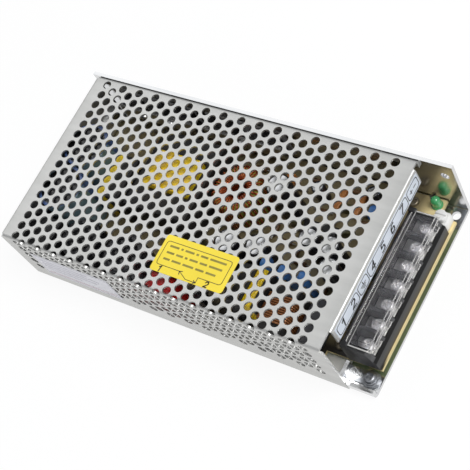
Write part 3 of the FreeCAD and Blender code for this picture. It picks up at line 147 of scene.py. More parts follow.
def object_noise(nodes, links, scale, detail=4.0, stretch=(1, 1, 1)):
    """Cloudy pattern fixed to the piece."""
    place = nodes.new("ShaderNodeTexCoord")
    mapping = nodes.new("ShaderNodeMapping")
    mapping.inputs["Scale"].default_value = stretch
    noise = nodes.new("ShaderNodeTexNoise")
    noise.inputs["Scale"].default_value = scale
    noise.inputs["Detail"].default_value = detail
    links.new(place.outputs["Object"], mapping.inputs["Vector"])
    links.new(mapping.outputs["Vector"], noise.inputs["Vector"])
    return noise.outputs["Fac"]


def ramp(nodes, links, value, low, high):
    """Colour between two shades by a value."""
    node = nodes.new("ShaderNodeValToRGB")
    node.color_ramp.elements[0].position = 0.3
    node.color_ramp.elements[0].color = (*low, 1)
    node.color_ramp.elements[1].position = 0.7
    node.color_ramp.elements[1].color = (*high, 1)
    links.new(value, node.inputs["Fac"])
    return node.outputs["Color"]


def spread(nodes, links, value, low, high):
    """Number between two ends by a value."""
    node = nodes.new("ShaderNodeMapRange")
    node.inputs["To Min"].default_value = low
    node.inputs["To Max"].default_value = high
    links.new(value, node.inputs["Value"])
    return node.outputs["Result"]


def bump(nodes, links, value, strength, distance):
    """Fine relief by a value."""
    node = nodes.new("ShaderNodeBump")
    node.inputs["Strength"].default_value = strength
    node.inputs["Distance"].default_value = distance
    links.new(value, node.inputs["Height"])
    return node.outputs["Normal"]


def surface(name, low, high, metallic=0.0, rough=(0.4, 0.5), scale=60.0, stretch=(1, 1, 1),
            grain=900.0, grain_depth=0.00002, grain_strength=0.3, coat=0.0, specular=0.5, clearness=0.0):
    """Two close colours in soft patches, with a fine grain in the height."""
    material, nodes, links, shader = new_material(name)
    patches = object_noise(nodes, links, scale, 5.0, stretch)
    links.new(ramp(nodes, links, patches, low, high), shader.inputs["Base Color"])
    links.new(spread(nodes, links, patches, rough[0], rough[1]), shader.inputs["Roughness"])
    fine = object_noise(nodes, links, grain, 2.0, stretch)
    links.new(bump(nodes, links, fine, grain_strength, grain_depth), shader.inputs["Normal"])
    shader.inputs["Metallic"].default_value = metallic
    shader.inputs["Coat Weight"].default_value = coat
    shader.inputs["Specular IOR Level"].default_value = specular
    shader.inputs["Transmission Weight"].default_value = clearness
    return material


def clear_plastic(name, tint, rough, clearness):
    """Clear moulding with a slight haze."""
    material, nodes, links, shader = new_material(name)
    haze = object_noise(nodes, links, 40.0, 4.0)
    links.new(spread(nodes, links, haze, rough * 0.6, rough * 1.4), shader.inputs["Roughness"])
    links.new(ramp(nodes, links, haze, tint, tuple(min(1.0, c * 1.06) for c in tint)),
              shader.inputs["Base Color"])
    shader.inputs["Transmission Weight"].default_value = clearness
    shader.inputs["IOR"].default_value = 1.3
    return material


cover_finish = surface("cover_steel", (0.50, 0.50, 0.485), (0.58, 0.58, 0.565), 0.85, (0.36, 0.46), 35.0,
                       (1, 6, 6), 700.0, 0.00001, 0.25)
chassis_finish = surface("polished_aluminium", (0.60, 0.61, 0.62), (0.70, 0.70, 0.70), 1.0, (0.14, 0.24),
                         25.0,
                         (1, 8, 8), 500.0, 0.00001, 0.15)
screw_finish = surface("plated_steel", (0.66, 0.66, 0.66), (0.80, 0.80, 0.79), 1.0, (0.16, 0.30), 300.0)
tinned_finish = surface("tinned_plate", (0.50, 0.49, 0.47), (0.70, 0.69, 0.66), 1.0, (0.25, 0.40), 200.0)
lug_finish = surface("lug_tin", (0.24, 0.25, 0.27), (0.38, 0.39, 0.41), 1.0, (0.30, 0.44), 300.0)
brass_finish = surface("brass_post", (0.55, 0.42, 0.16), (0.68, 0.54, 0.24), 1.0, (0.28, 0.4), 200.0)


def board_top_with_painted_shade():
    """Laminate with its patches; painted shade darkens it under the cover, and a painted shadow blackens it
    in the near front corner.
    """
    material = surface("board_laminate_painted_shade", (0.76, 0.60, 0.29), (0.90, 0.74, 0.39), 0.0, (0.35, 0.5), 90.0)
    nodes, links = material.node_tree.nodes, material.node_tree.links
    shader = nodes["Principled BSDF"]
    colour = shader.inputs["Base Color"].links[0].from_socket
    place = nodes.new("ShaderNodeTexCoord")
    axes = nodes.new("ShaderNodeSeparateXYZ")
    links.new(place.outputs["Object"], axes.inputs[0])
    shades = []
    # At the cover's front edge along X, then at the near corner along Y: where the shade ends and the light
    # begins, and how much colour the shade leaves.
    for axis, dark_at, light_at, dark in ((0, 80 * MM, 86 * MM, 0.27), (1, -36 * MM, -30 * MM, 0.05)):
        shade = nodes.new("ShaderNodeMapRange")
        shade.inputs["From Min"].default_value = dark_at
        shade.inputs["From Max"].default_value = light_at
        shade.inputs["To Min"].default_value = dark
        links.new(axes.outputs[axis], shade.inputs["Value"])
        shades.append(shade.outputs["Result"])
    both = nodes.new("ShaderNodeMath")
    both.operation = "MULTIPLY"
    links.new(shades[0], both.inputs[0])
    links.new(shades[1], both.inputs[1])
    # Painted shade: the laminate's colour mixed towards near black under the cover and in the near front
    # corner.
    tint = nodes.new("ShaderNodeMix")
    tint.data_type = "RGBA"
    links.new(both.outputs[0], tint.inputs[0])
    links.new(colour, tint.inputs[7])
    tint.inputs[6].default_value = (0.012, 0.010, 0.008, 1)
    links.new(tint.outputs[2], shader.inputs["Base Color"])
    return material


shaded_board_finish = board_top_with_painted_shade()
board_edge = surface("board_edge", (0.55, 0.45, 0.20), (0.66, 0.55, 0.28), 0.0, (0.45, 0.6), 90.0)
sheet_finish = surface("insulating_film", (0.74, 0.73, 0.70), (0.82, 0.81, 0.78), 0.0, (0.4, 0.55), 60.0)
black_moulding = surface("black_moulding", (0.010, 0.010, 0.011), (0.020, 0.020, 0.021), 0.0,
                         (0.38, 0.5), 120.0)
black_sleeve = surface("black_sleeve", (0.010, 0.010, 0.013), (0.022, 0.022, 0.026), 0.0, (0.2, 0.32),
                       120.0)
ferrite = surface("ferrite", (0.018, 0.018, 0.018), (0.035, 0.034, 0.033), 0.0, (0.5, 0.65), 250.0)
blue_sleeve = surface("blue_sleeve", (0.07, 0.12, 0.30), (0.10, 0.17, 0.38), 0.0, (0.2, 0.32), 120.0)
can_aluminium = surface("can_aluminium", (0.62, 0.63, 0.64), (0.75, 0.76, 0.77), 1.0, (0.2, 0.32), 150.0)
yellow_tape = surface("yellow_tape", (0.94, 0.60, 0.014), (1.0, 0.74, 0.025), 0.0, (0.22, 0.34), 90.0,
                      (1, 1, 8))
copper_wire = surface("copper_wire", (0.36, 0.05, 0.015), (0.60, 0.15, 0.03), 0.55, (0.16, 0.26), 200.0,
                      coat=0.5)
core_yellow = surface("core_yellow", (0.45, 0.42, 0.06), (0.55, 0.52, 0.10), 0.0, (0.4, 0.5), 150.0)
brown_wire = surface("brown_wire", (0.30, 0.11, 0.035), (0.42, 0.17, 0.06), 0.3, (0.25, 0.4), 200.0)
blue_dip = surface("blue_dip", (0.05, 0.17, 0.48), (0.08, 0.24, 0.58), 0.0, (0.2, 0.3), 200.0)
orange_coat = surface("orange_coat", (0.48, 0.17, 0.04), (0.60, 0.24, 0.07), 0.0, (0.35, 0.5), 200.0)
grey_box = surface("grey_box", (0.045, 0.045, 0.05), (0.07, 0.07, 0.075), 0.0, (0.4, 0.5), 120.0)
red_moulding = surface("red_moulding", (0.46, 0.012, 0.012), (0.58, 0.02, 0.018), 0.0, (0.28, 0.4), 120.0)
white_moulding = surface("white_moulding", (0.72, 0.72, 0.70), (0.80, 0.80, 0.78), 0.0, (0.3, 0.42), 150.0)
pad_rubber = surface("pad_rubber", (0.42, 0.42, 0.42), (0.50, 0.50, 0.50), 0.0, (0.6, 0.7), 150.0)
yellow_film = surface("yellow_film", (0.78, 0.61, 0.028), (0.84, 0.67, 0.04), 0.0, (0.32, 0.42), 50.0)
pale_film = surface("pale_film", (0.72, 0.715, 0.76), (0.78, 0.775, 0.81), 0.0, (0.4, 0.5), 50.0)
silver_film = surface("silver_film", (0.66, 0.71, 0.78), (0.74, 0.79, 0.86), 0.1, (0.35, 0.45), 50.0)
glass_tube = surface("fuse_glass", (0.62, 0.66, 0.66), (0.72, 0.75, 0.75), 0.0, (0.08, 0.15), 100.0)
clear_flap = clear_plastic("clear_flap", (0.90, 0.89, 0.92), 0.05, 0.97)
green_lens = surface("green_lens", (0.10, 0.62, 0.22), (0.16, 0.74, 0.30), 0.0, (0.08, 0.14), 200.0,
                     coat=0.5, clearness=0.4)
head_finish = surface("terminal_heads", (0.72, 0.71, 0.69), (0.88, 0.87, 0.84), 0.7, (0.3, 0.42), 400.0)
# Deeper black than the moulding: painted shade for the bays of the terminal block.
bay_shade_black = surface("bay_shade_black", (0.004, 0.004, 0.004), (0.008, 0.008, 0.008), 0.0, (0.5, 0.6), 120.0,
                     specular=0.25)
# Paler grey: a painted sheen on the terminal block's front slants.
slant_sheen_grey = surface("slant_sheen_grey", (0.04, 0.04, 0.042), (0.08, 0.08, 0.083), 0.0, (0.3, 0.4), 300.0)
pale_stripe = surface("pale_stripe", (0.16, 0.25, 0.29), (0.24, 0.34, 0.38), 0.0, (0.2, 0.32), 120.0)
black_plate = surface("black_plate", (0.008, 0.008, 0.009), (0.018, 0.018, 0.02), 0.0, (0.12, 0.2), 120.0)
dull_screw = surface("dull_screw", (0.20, 0.17, 0.12), (0.30, 0.26, 0.19), 0.8, (0.4, 0.5), 300.0)
# Pale and partly clear: painted highlight for the flap's ribs, front edges and teeth.
flap_highlight = surface("flap_highlight", (0.84, 0.83, 0.80), (0.94, 0.93, 0.90), 0.0, (0.08, 0.14), 120.0,
                    coat=0.5, clearness=0.6)
board_green = surface("board_green", (0.33, 0.42, 0.20), (0.44, 0.52, 0.28), 0.0, (0.3, 0.45), 90.0)
dark_body = surface("dark_body", (0.10, 0.05, 0.02), (0.22, 0.12, 0.05), 0.0, (0.3, 0.4), 300.0)
olive_dip = surface("olive_dip", (0.05, 0.05, 0.02), (0.12, 0.11, 0.05), 0.0, (0.3, 0.4), 200.0)
black_ink = surface("black_ink", (0.012, 0.012, 0.012), (0.03, 0.03, 0.028), 0.0, (0.4, 0.5), 300.0)
olive_ink = surface("olive_ink", (0.20, 0.17, 0.02), (0.28, 0.24, 0.04), 0.0, (0.4, 0.5), 300.0)
grey_ink = surface("grey_ink", (0.56, 0.55, 0.62), (0.62, 0.61, 0.68), 0.0, (0.4, 0.5), 300.0)
red_ink = surface("red_ink", (0.62, 0.46, 0.48), (0.68, 0.52, 0.54), 0.0, (0.4, 0.5), 300.0)

node_finishes = {
    "chassis": chassis_finish, "cover": cover_finish, "cover_screws": screw_finish,
    "circuit_board": shaded_board_finish, "insulation_sheet": sheet_finish, "board_standoffs": brass_finish,
    "board_screws": screw_finish, "terminal_block": black_moulding, "terminal_plates": tinned_finish,
    "terminal_washers": tinned_finish, "terminal_screws": screw_finish, "terminal_cover": clear_flap,
    "trimmer_body": white_moulding, "trimmer_knob": white_moulding, "power_led": green_lens,
    "earth_lug": tinned_finish, "earth_washers": screw_finish, "earth_screw": screw_finish,
    "selector_body": red_moulding, "selector_slider": red_moulding, "main_capacitors": blue_sleeve,
    "line_capacitors": black_sleeve, "output_capacitors": can_aluminium, "small_capacitors": black_sleeve,
    "rear_film_capacitor": black_moulding, "line_film_capacitor": grey_box,
    "aux_transformer_coil": yellow_tape, "aux_transformer_core": ferrite,
    "main_transformer_coil": yellow_tape, "main_transformer_core": ferrite,
    "output_choke_core": core_yellow, "output_choke_winding": copper_wire,
    "driver_transformer_core": ferrite, "driver_transformer_coil": yellow_tape,
    "line_filter_core": ferrite, "line_filter_coils": brown_wire, "disc_capacitors": blue_dip,
    "inrush_thermistor": black_sleeve, "power_resistors": orange_coat, "control_chip": black_moulding,
    "fuse_tube": glass_tube, "fuse_clips": tinned_finish, "insulating_pads": pad_rubber,
    "switching_transistors": black_moulding, "output_diodes": black_moulding, "clamp_bars": tinned_finish,
    "clamp_screws": screw_finish, "top_label": yellow_film, "side_label": pale_film,
    "strip_label": silver_film,
}
for node, finish in node_finishes.items():
    for slot in bpy.data.objects[node].material_slots:
        slot.material = finish

# Perforated cover

# The sheet is laid out flat: u runs from the rear to the front, v from the far edge to the near one.
FAR = 47.1
COVER_LENGTH = 185.7
COVER_THICK = 1.0
PITCH = 6.0
COLUMN = PITCH * math.sqrt(3) / 2
FIRST_HOLE = 9.02
LATTICE_START = FIRST_HOLE - COLUMN / 2
EVEN_COLUMNS, EVEN_HOLES = 17, 21
ODD_COLUMNS, ODD_HOLES = 16, 20
COLUMNS = EVEN_COLUMNS + ODD_COLUMNS
HALF_ROWS = 44
LATTICE_WIDTH = COLUMNS * COLUMN
LATTICE_DEPTH = HALF_ROWS * PITCH / 2
HOLE_RADIUS = 2.22
HOLE_CORNERS = 20
FAR_LINE = 46.31
FOLD = 1.4
FOLD_STEPS = 4
ARC = FOLD * math.pi / 2
CLOSER_FROM = 90.0
CLOSER_TO = 102.0
SQUEEZE = 0.9275
NEAR_FOLD = FAR_LINE - (NEAR + FOLD)
FAR_FOLD = FAR_LINE - (FAR - FOLD)
FRONT_FOLD = COVER_LENGTH - FOLD
FLANGE_START = 4.0
FLANGE_END = FAR_LINE + 39.3
NEAR_WALL_END = 0.8
FAR_FLANGE_END = 33.2
REAR_WALL_END = 2.3
FRONT_FLANGE_END = 28.2


def sheet_run(v):
    """Distance across the flat sheet; the rows beside the near fold lie a little closer."""
    if v <= CLOSER_FROM:
        return v
    if v <= CLOSER_TO:
        return CLOSER_FROM + (v - CLOSER_FROM) * SQUEEZE
    return v - (CLOSER_TO - CLOSER_FROM) * (1.0 - SQUEEZE)


def line_at(run):
    """Line of the flat sheet at this distance across it, exact up to the end of the closer rows."""
    if run <= CLOSER_FROM:
        return run
    return CLOSER_FROM + (run - CLOSER_FROM) / SQUEEZE


def folded(u, v):
    """Place of a point of the flat sheet on the outside of the folded cover."""
    run = sheet_run(v)
    x, y, z = REAR + u, FAR_LINE - run, TOP
    if run > NEAR_FOLD + 0.002:
        turn = min((run - NEAR_FOLD) / FOLD, math.pi / 2)
        y = NEAR + FOLD - FOLD * math.sin(turn)
        z = TOP - FOLD + FOLD * math.cos(turn) - max(0.0, run - NEAR_FOLD - ARC)
    elif run < FAR_FOLD - 0.002:
        turn = min((FAR_FOLD - run) / FOLD, math.pi / 2)
        y = FAR - FOLD + FOLD * math.sin(turn)
        z = TOP - FOLD + FOLD * math.cos(turn) - max(0.0, FAR_FOLD - run - ARC)
    elif u < FOLD:
        turn = min((FOLD - u) / FOLD, math.pi / 2)
        x = REAR + FOLD - FOLD * math.sin(turn)
        z = TOP - FOLD + FOLD * math.cos(turn) - max(0.0, FOLD - u - ARC)
    elif u > FRONT_FOLD:
        turn = min((u - FRONT_FOLD) / FOLD, math.pi / 2)
        x = REAR + FRONT_FOLD + FOLD * math.sin(turn)
        z = TOP - FOLD + FOLD * math.cos(turn) - max(0.0, u - FRONT_FOLD - ARC)
    return Vector((x, y, z)) * MM


def holed_cell():
    """One cell of the lattice: a six-cornered edge bridged to a round hole."""
    clear_selection()
    bpy.ops.mesh.primitive_plane_add(size=1, location=(0, 0, 0))
    cell = named("cell")
    bpy.ops.object.mode_set(mode="EDIT")
    bpy.ops.transform.resize(value=(COLUMN * MM, PITCH * MM, 1))
    pick(cell, "EDGE", lambda m, e: abs(m.x) > 1)
    bpy.ops.mesh.subdivide(number_cuts=1)
    bpy.ops.mesh.select_all(action="SELECT")
    bpy.ops.mesh.delete(type="ONLY_FACE")
    pick(cell, "EDGE", lambda m, e: m.length < 0.5)
    bpy.ops.mesh.delete(type="EDGE")
    bpy.ops.mesh.primitive_circle_add(vertices=HOLE_CORNERS, radius=HOLE_RADIUS * MM)
    bpy.ops.mesh.select_all(action="SELECT")
    bpy.ops.mesh.bridge_edge_loops()
    bpy.ops.object.mode_set(mode="OBJECT")
    return cell


def column_set(cell, first_u, first_v, columns, rows):
    """Copy of the cell, repeated over every second column."""
    copy = cell.copy()
    copy.data = cell.data.copy()
    bpy.context.collection.objects.link(copy)
    copy.location = (first_u * MM, first_v * MM, 0)
    settle(copy)
    finish_modifier(copy, "ARRAY", count=rows, use_relative_offset=False, use_constant_offset=True,
                    constant_offset_displace=(0, PITCH * MM, 0))
    finish_modifier(copy, "ARRAY", count=columns, use_relative_offset=False, use_constant_offset=True,
                    constant_offset_displace=(2 * COLUMN * MM, 0, 0))
    return copy


def has_hole(m):
    """True where a cell of the lattice takes the place of the plain sheet."""
    column = int((m.x - LATTICE_START) // COLUMN)
    if column % 2 == 0:
        return m.y < EVEN_HOLES * PITCH
    return PITCH / 2 < m.y < PITCH / 2 + ODD_HOLES * PITCH


def lattice_sheet():
    """Flat sheet with the whole lattice, its cells merged."""
    clear_selection()
    bpy.ops.mesh.primitive_grid_add(x_subdivisions=COLUMNS, y_subdivisions=HALF_ROWS, size=1)
    sheet = named("cover_sheet")
    bpy.ops.object.mode_set(mode="EDIT")
    bpy.ops.transform.resize(value=(LATTICE_WIDTH * MM, LATTICE_DEPTH * MM, 1))
    middle = ((LATTICE_START + LATTICE_WIDTH / 2) * MM, LATTICE_DEPTH / 2 * MM, 0)
    bpy.ops.transform.translate(value=middle)
    pick(sheet, "FACE", lambda m, f: has_hole(m))
    bpy.ops.mesh.delete(type="FACE")
    bpy.ops.object.mode_set(mode="OBJECT")
    cell = holed_cell()
    evens = column_set(cell, FIRST_HOLE, PITCH / 2, EVEN_COLUMNS, EVEN_HOLES)
    odds = column_set(cell, FIRST_HOLE + COLUMN, PITCH, ODD_COLUMNS, ODD_HOLES)
    bpy.data.objects.remove(cell)
    sheet = joined([sheet, evens, odds], "cover_sheet")
    edit(sheet)
    bpy.ops.mesh.select_all(action="SELECT")
    bpy.ops.mesh.remove_doubles(threshold=0.02 * MM)
    return sheet


def draw_out(sheet, axis, at, to, test=lambda m: True):
    """Extrude the border that lies at one line on to the next line."""
    def on_line(m, e):
        return abs(m[axis] - at) < 0.02 and test(m)

    pick(sheet, "EDGE", on_line)
    step = [0, 0, 0]
    step[axis] = (to - at) * MM
    bpy.ops.mesh.extrude_edges_move(TRANSFORM_OT_translate={"value": step})


def on_wall(m):
    """On the part that becomes the near wall."""
    return m.y > line_at(NEAR_FOLD + ARC) - 0.01


def on_top(m):
    """On the part that becomes the flat top."""
    return FAR_FOLD < m.y < line_at(NEAR_FOLD) + 0.01


def on_flange(m):
    """Between the ends of the front flange."""
    return FLANGE_START < m.y < FLANGE_END


def plain_borders(sheet):
    """Draw the plain borders out of the lattice, still flat, with the lines that the folds need."""
    draw_out(sheet, 1, LATTICE_DEPTH, line_at(NEAR_FOLD + ARC + TOP - FOLD - NEAR_WALL_END))
    draw_out(sheet, 1, 0.0, FAR_FOLD - ARC - (TOP - FOLD - FAR_FLANGE_END))
    draw_out(sheet, 0, LATTICE_START, FOLD)
    draw_out(sheet, 0, LATTICE_START + LATTICE_WIDTH, FRONT_FOLD)
    cuts = [line_at(NEAR_FOLD + ARC * k / FOLD_STEPS) for k in range(FOLD_STEPS + 1)]
    cuts += [FAR_FOLD - ARC * k / FOLD_STEPS for k in range(FOLD_STEPS + 1)]
    cuts += [FLANGE_END, FLANGE_START]
    for cut in cuts:
        bpy.ops.mesh.select_all(action="SELECT")
        bpy.ops.mesh.bisect(plane_co=(0, cut * MM, 0), plane_no=(0, 1, 0))
    draw_out(sheet, 0, FOLD, 0.0, on_wall)
    draw_out(sheet, 0, FRONT_FOLD, COVER_LENGTH, on_wall)
    turns = [ARC * k / FOLD_STEPS for k in range(FOLD_STEPS + 1)]
    rear = [FOLD - turn for turn in turns] + [FOLD - ARC - (TOP - FOLD - REAR_WALL_END)]
    for at, to in zip(rear, rear[1:]):
        draw_out(sheet, 0, at, to, on_top)
    front = [FRONT_FOLD + turn for turn in turns] + [FRONT_FOLD + ARC + (TOP - FOLD - FRONT_FLANGE_END)]
    for at, to in zip(front, front[1:]):
        draw_out(sheet, 0, at, to, on_flange)
    bpy.ops.object.mode_set(mode="OBJECT")


def face_outwards(sheet):
    """Turn all the faces one way, with the top facing up."""
    edit(sheet)
    bpy.ops.mesh.select_all(action="SELECT")
    bpy.ops.mesh.normals_make_consistent(inside=False)
    bpy.ops.object.mode_set(mode="OBJECT")
    top_face = max(sheet.data.polygons, key=lambda f: f.area if f.center.z > (TOP - 0.1) * MM else 0)
    if top_face.normal.z < 0:
        edit(sheet)
        bpy.ops.mesh.select_all(action="SELECT")
        bpy.ops.mesh.flip_normals()
        bpy.ops.object.mode_set(mode="OBJECT")


def perforated_cover():
    """Sheet with the whole lattice, folded at the near and far edges, the rear and the front."""
    sheet = lattice_sheet()
    plain_borders(sheet)
    for vertex in sheet.data.vertices:
        vertex.co = folded(vertex.co.x / MM, vertex.co.y / MM)
    face_outwards(sheet)
    finish_modifier(sheet, "SOLIDIFY", thickness=COVER_THICK * MM, offset=-1.0)
    sheet.data.materials.clear()
    sheet.data.materials.append(cover_finish)
    smooth(sheet, 25)
    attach(sheet, "supply")
    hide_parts("cover")


# Ways of finishing and copying a piece


def ready(piece, node, finish, body="supply"):
    """Give a finished piece its finish and body, in the place of a node."""
    if finish is not None:
        piece.data.materials.clear()
        piece.data.materials.append(finish)
    smooth(piece, 35)
    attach(piece, body)
    if node:
        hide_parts(node)
    return piece


def paint(piece, finish, test):
    """Second finish for the faces that pass a test on their middle, in millimetres."""
    piece.data.materials.append(finish)
    index = len(piece.data.materials) - 1
    for face in piece.data.polygons:
        if test(face.center / MM, face.normal):
            face.material_index = index


def merged_copy(node, name):
    """Copy of a node's solid with its points merged and its flat faces whole."""
    piece = bpy.data.objects.new(name, bpy.data.objects[node].data.copy())
    piece.data.name = name
    bpy.context.collection.objects.link(piece)
    edit(piece)
    bpy.ops.mesh.select_all(action="SELECT")
    bpy.ops.mesh.remove_doubles(threshold=0.004 * MM)
    bpy.ops.mesh.dissolve_limited(angle_limit=math.radians(1))
    bpy.ops.object.mode_set(mode="OBJECT")
    return piece


def softened(node, name, width, finish, body, segments):
    """A node's own form with its edges broken."""
    piece = merged_copy(node, name)
    round_edges(piece, width, segments)
    return ready(piece, node, finish, body)


def spread_out(model, places, name):
    """Copies of one model at many places, as one piece. A place may carry a turn about Z."""
    copies = []
    for place in places:
        copy = bpy.data.objects.new(name, model.data.copy())
        bpy.context.collection.objects.link(copy)
        copy.location = [c * MM for c in place[:3]]
        if len(place) > 3:
            copy.rotation_euler = place[3]
        settle(copy)
        copies.append(copy)
    bpy.data.objects.remove(model)
    return joined(copies, name)


def drum(radius, low, high, corners=32, x=0.0, y=0.0):
    """Upright cylinder between two heights."""
    clear_selection()
    bpy.ops.mesh.primitive_cylinder_add(vertices=corners, radius=radius * MM, depth=(high - low) * MM,
                                        location=(x * MM, y * MM, (low + high) / 2 * MM))
    piece = named("drum")
    settle(piece)
    return piece


def block(x0, x1, y0, y1, z0, z1):
    clear_selection()
    middle = ((x0 + x1) / 2 * MM, (y0 + y1) / 2 * MM, (z0 + z1) / 2 * MM)
    bpy.ops.mesh.primitive_cube_add(size=1, location=middle)
    piece = named("block")
    piece.scale = ((x1 - x0) * MM, (y1 - y0) * MM, (z1 - z0) * MM)
    settle(piece)
    return piece


def round_edges(piece, width, segments=3):
    finish_modifier(piece, "BEVEL", width=width * MM, segments=segments, limit_method="ANGLE",
                    angle_limit=math.radians(28))


def step_face(piece, test, margin, rise):
    """Inset a flat face and raise or sink what is inside."""
    edit(piece, "FACE")
    pick(piece, "FACE", lambda m, f: test(m, f.normal))
    bpy.ops.mesh.inset(thickness=margin * MM)
    if rise:
        bpy.ops.mesh.extrude_region_move(TRANSFORM_OT_translate={"value": (0, 0, rise * MM)})
    bpy.ops.object.mode_set(mode="OBJECT")


def screw_model(radius, height, shank, reach, arm):
    """Screw with a domed head and a cross recess of this arm width, its seat at the origin."""
    head = drum(radius, 0, height, 36)
    edit(head, "EDGE")
    pick(head, "EDGE", lambda m, e: m.z > height - 0.01)
    bpy.ops.mesh.bevel(offset=height * 0.55 * MM, segments=4)
    bpy.ops.object.mode_set(mode="OBJECT")
    for k in range(2):
        bar = block(-radius * 0.62, radius * 0.62, -arm / 2, arm / 2, height * 0.45, height + 1)
        bar.rotation_euler = (0, 0, k * math.pi / 2 + 0.5)
        settle(bar)
        finish_modifier(head, "BOOLEAN", object=bar, operation="DIFFERENCE", solver="EXACT")
        bpy.data.objects.remove(bar)
    step_face(head, lambda m, n: n.z < -0.9, radius - shank, 0)
    edit(head, "FACE")
    pick(head, "FACE", lambda m, f: f.normal.z < -0.9 and math.hypot(m.x, m.y) < 0.2)
    bpy.ops.mesh.extrude_region_move(TRANSFORM_OT_translate={"value": (0, 0, -reach * MM)})
    bpy.ops.object.mode_set(mode="OBJECT")
    return head


def stroke(face, start, end, width):
    """Flat bar of ink between two points of a printed face."""
    origin, right, up = face
    run = Vector((end[0] - start[0], end[1] - start[1]))
    along = (right * run.x + up * run.y).normalized()
    out = right.cross(up)
    across = out.cross(along)
    middle = origin + right * (start[0] + end[0]) / 2 + up * (start[1] + end[1]) / 2 + out * INK
    clear_selection()
    bpy.ops.mesh.primitive_plane_add(size=1)
    bar = named("stroke")
    turn = Matrix((along, across, out)).transposed().to_4x4()
    bar.matrix_world = Matrix.Translation(middle * MM) @ turn @ Matrix.Diagonal(
        ((run.length + width) * MM, width * MM, 1, 1))
    settle(bar)
    return bar


def lines(face, points, width):
    """Bars of ink from point to point."""
    return [stroke(face, a, b, width) for a, b in zip(points, points[1:])]


def frame_line(face, x0, y0, x1, y1, corner, width):
    """Closed frame with rounded corners."""
    c = corner
    points = [(x0 + c, y0), (x1 - c, y0), (x1 - 0.3 * c, y0 + 0.3 * c), (x1, y0 + c), (x1, y1 - c),
              (x1 - 0.3 * c, y1 - 0.3 * c), (x1 - c, y1), (x0 + c, y1), (x0 + 0.3 * c, y1 - 0.3 * c),
              (x0, y1 - c), (x0, y0 + c), (x0 + 0.3 * c, y0 + 0.3 * c), (x0 + c, y0)]
    return lines(face, points, width)


# The numerals that the labels show, as strokes in a box one unit high.
NUMERALS = {
    1: [(0.15, 0.78), (0.45, 1.0), (0.45, 0.0)],
    2: [(0.0, 0.8), (0.12, 1.0), (0.5, 1.0), (0.6, 0.8), (0.6, 0.62), (0.0, 0.0), (0.62, 0.0)],
    4: [(0.46, 0.0), (0.46, 1.0), (0.0, 0.3), (0.65, 0.3)],
    5: [(0.58, 1.0), (0.05, 1.0), (0.0, 0.58), (0.45, 0.58), (0.6, 0.42), (0.6, 0.14), (0.45, 0.0),
        (0.0, 0.0)],
    6: [(0.55, 1.0), (0.2, 1.0), (0.0, 0.6), (0.0, 0.1), (0.12, 0.0), (0.48, 0.0), (0.6, 0.14),
        (0.6, 0.42), (0.48, 0.54), (0.0, 0.5)],
    7: [(0.0, 1.0), (0.6, 1.0), (0.2, 0.0)],
}


def numeral(face, value, x, y, height, width):
    """Plain numeral, centred on x with its foot at y."""
    points = [(x + (u - 0.3 + 0.18 * (v - 0.5)) * height, y + v * height) for u, v in NUMERALS[value]]
    return lines(face, points, width)


def printed(strokes, name, ink):
    """Bars of ink as one thin piece."""
    piece = joined(strokes, name)
    finish_modifier(piece, "SOLIDIFY", thickness=INK * MM, offset=1.0)
    piece.data.materials.clear()
    piece.data.materials.append(ink)
    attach(piece, "supply")


X, Y, Z = Vector((1, 0, 0)), Vector((0, 1, 0)), Vector((0, 0, 1))


def top_label_print():
    """Frame that opens at the bottom for an arrow, a 1 and a 2, and plain bars for the rows."""
    face = (Vector((-10.7, -39.8, 38.3)), X, Y)
    outline = [(15.5, 3.6), (3.1, 3.6), (2.2, 4.0), (1.9, 4.9), (1.9, 14.4), (2.3, 15.4), (3.2, 15.7),
               (37.1, 15.7), (38.0, 15.4), (38.4, 14.5), (38.4, 4.9), (38.0, 4.0), (37.1, 3.6), (26.0, 3.6)]
    marks = lines(face, outline, 0.28)
    marks += lines(face, [(15.5, 3.6), (20.4, 0.9), (26.0, 0.9), (26.0, 3.6)], 0.28)
    marks += lines(face, [(17.0, 3.9), (15.5, 3.6), (15.9, 2.2)], 0.4)
    marks += lines(face, [(24.6, 1.6), (26.0, 0.9), (24.6, 0.3)], 0.4)
    marks += numeral(face, 1, 5.0, 0.5, 2.6, 0.55) + numeral(face, 2, 31.5, 0.5, 2.6, 0.55)
    printed(marks, "top_label_lines", black_ink)
    bars = []
    rows = [(13.6, (5.2, 1.2, 5.0, 1.4, 4.0, 9.0)), (10.3, (4.2, 3.8, 1.4, 4.6, 4.0, 7.2)),
            (7.0, (3.6, 5.0, 6.0, 4.6, 5.4))]
    for y, words in rows:
        x = 4.2
        for word in words:
            bars.append(stroke(face, (x + 0.5, y), (x + word - 0.5, y), 1.0))
            x += word + 1.2
    printed(bars, "top_label_rows", olive_ink)


def strip_label_print():
    """Fields over the terminals: a number or an earth mark for each, and plus and minus by the trimmer."""
    near_end = -37.7
    face = (Vector((86.9, near_end, 28.35)), Y, Z)
    marks = []
    for start, end in ((-36.7, -18.1), (-17.1, -8.8), (-7.8, 30.0), (31.0, 40.6)):
        marks += frame_line(face, start - near_end, 0.9, end - near_end, 7.4, 1.4, 0.42)
    for value in (1, 2, 4, 5, 6, 7):
        terminal = FIRST_TERMINAL + TERMINAL_PITCH * (value - 1)
        marks += numeral(face, value, terminal - near_end, 2.0, 4.3, 0.8)
    earth = FIRST_TERMINAL + TERMINAL_PITCH * 2 - near_end
    marks.append(stroke(face, (earth, 6.2), (earth, 4.4), 0.5))
    for k in range(3):
        half = 2.0 - 0.65 * k
        marks.append(stroke(face, (earth - half, 4.4 - k), (earth + half, 4.4 - k), 0.45))
    sign = 35.8 - near_end
    for start, end in (((-2.6, 4.1), (-0.6, 4.1)), ((-1.6, 3.1), (-1.6, 5.1)), ((0.8, 4.1), (2.6, 4.1))):
        marks.append(stroke(face, (sign + start[0], start[1]), (sign + end[0], end[1]), 0.5))
    printed(marks, "strip_label_lines", black_ink)


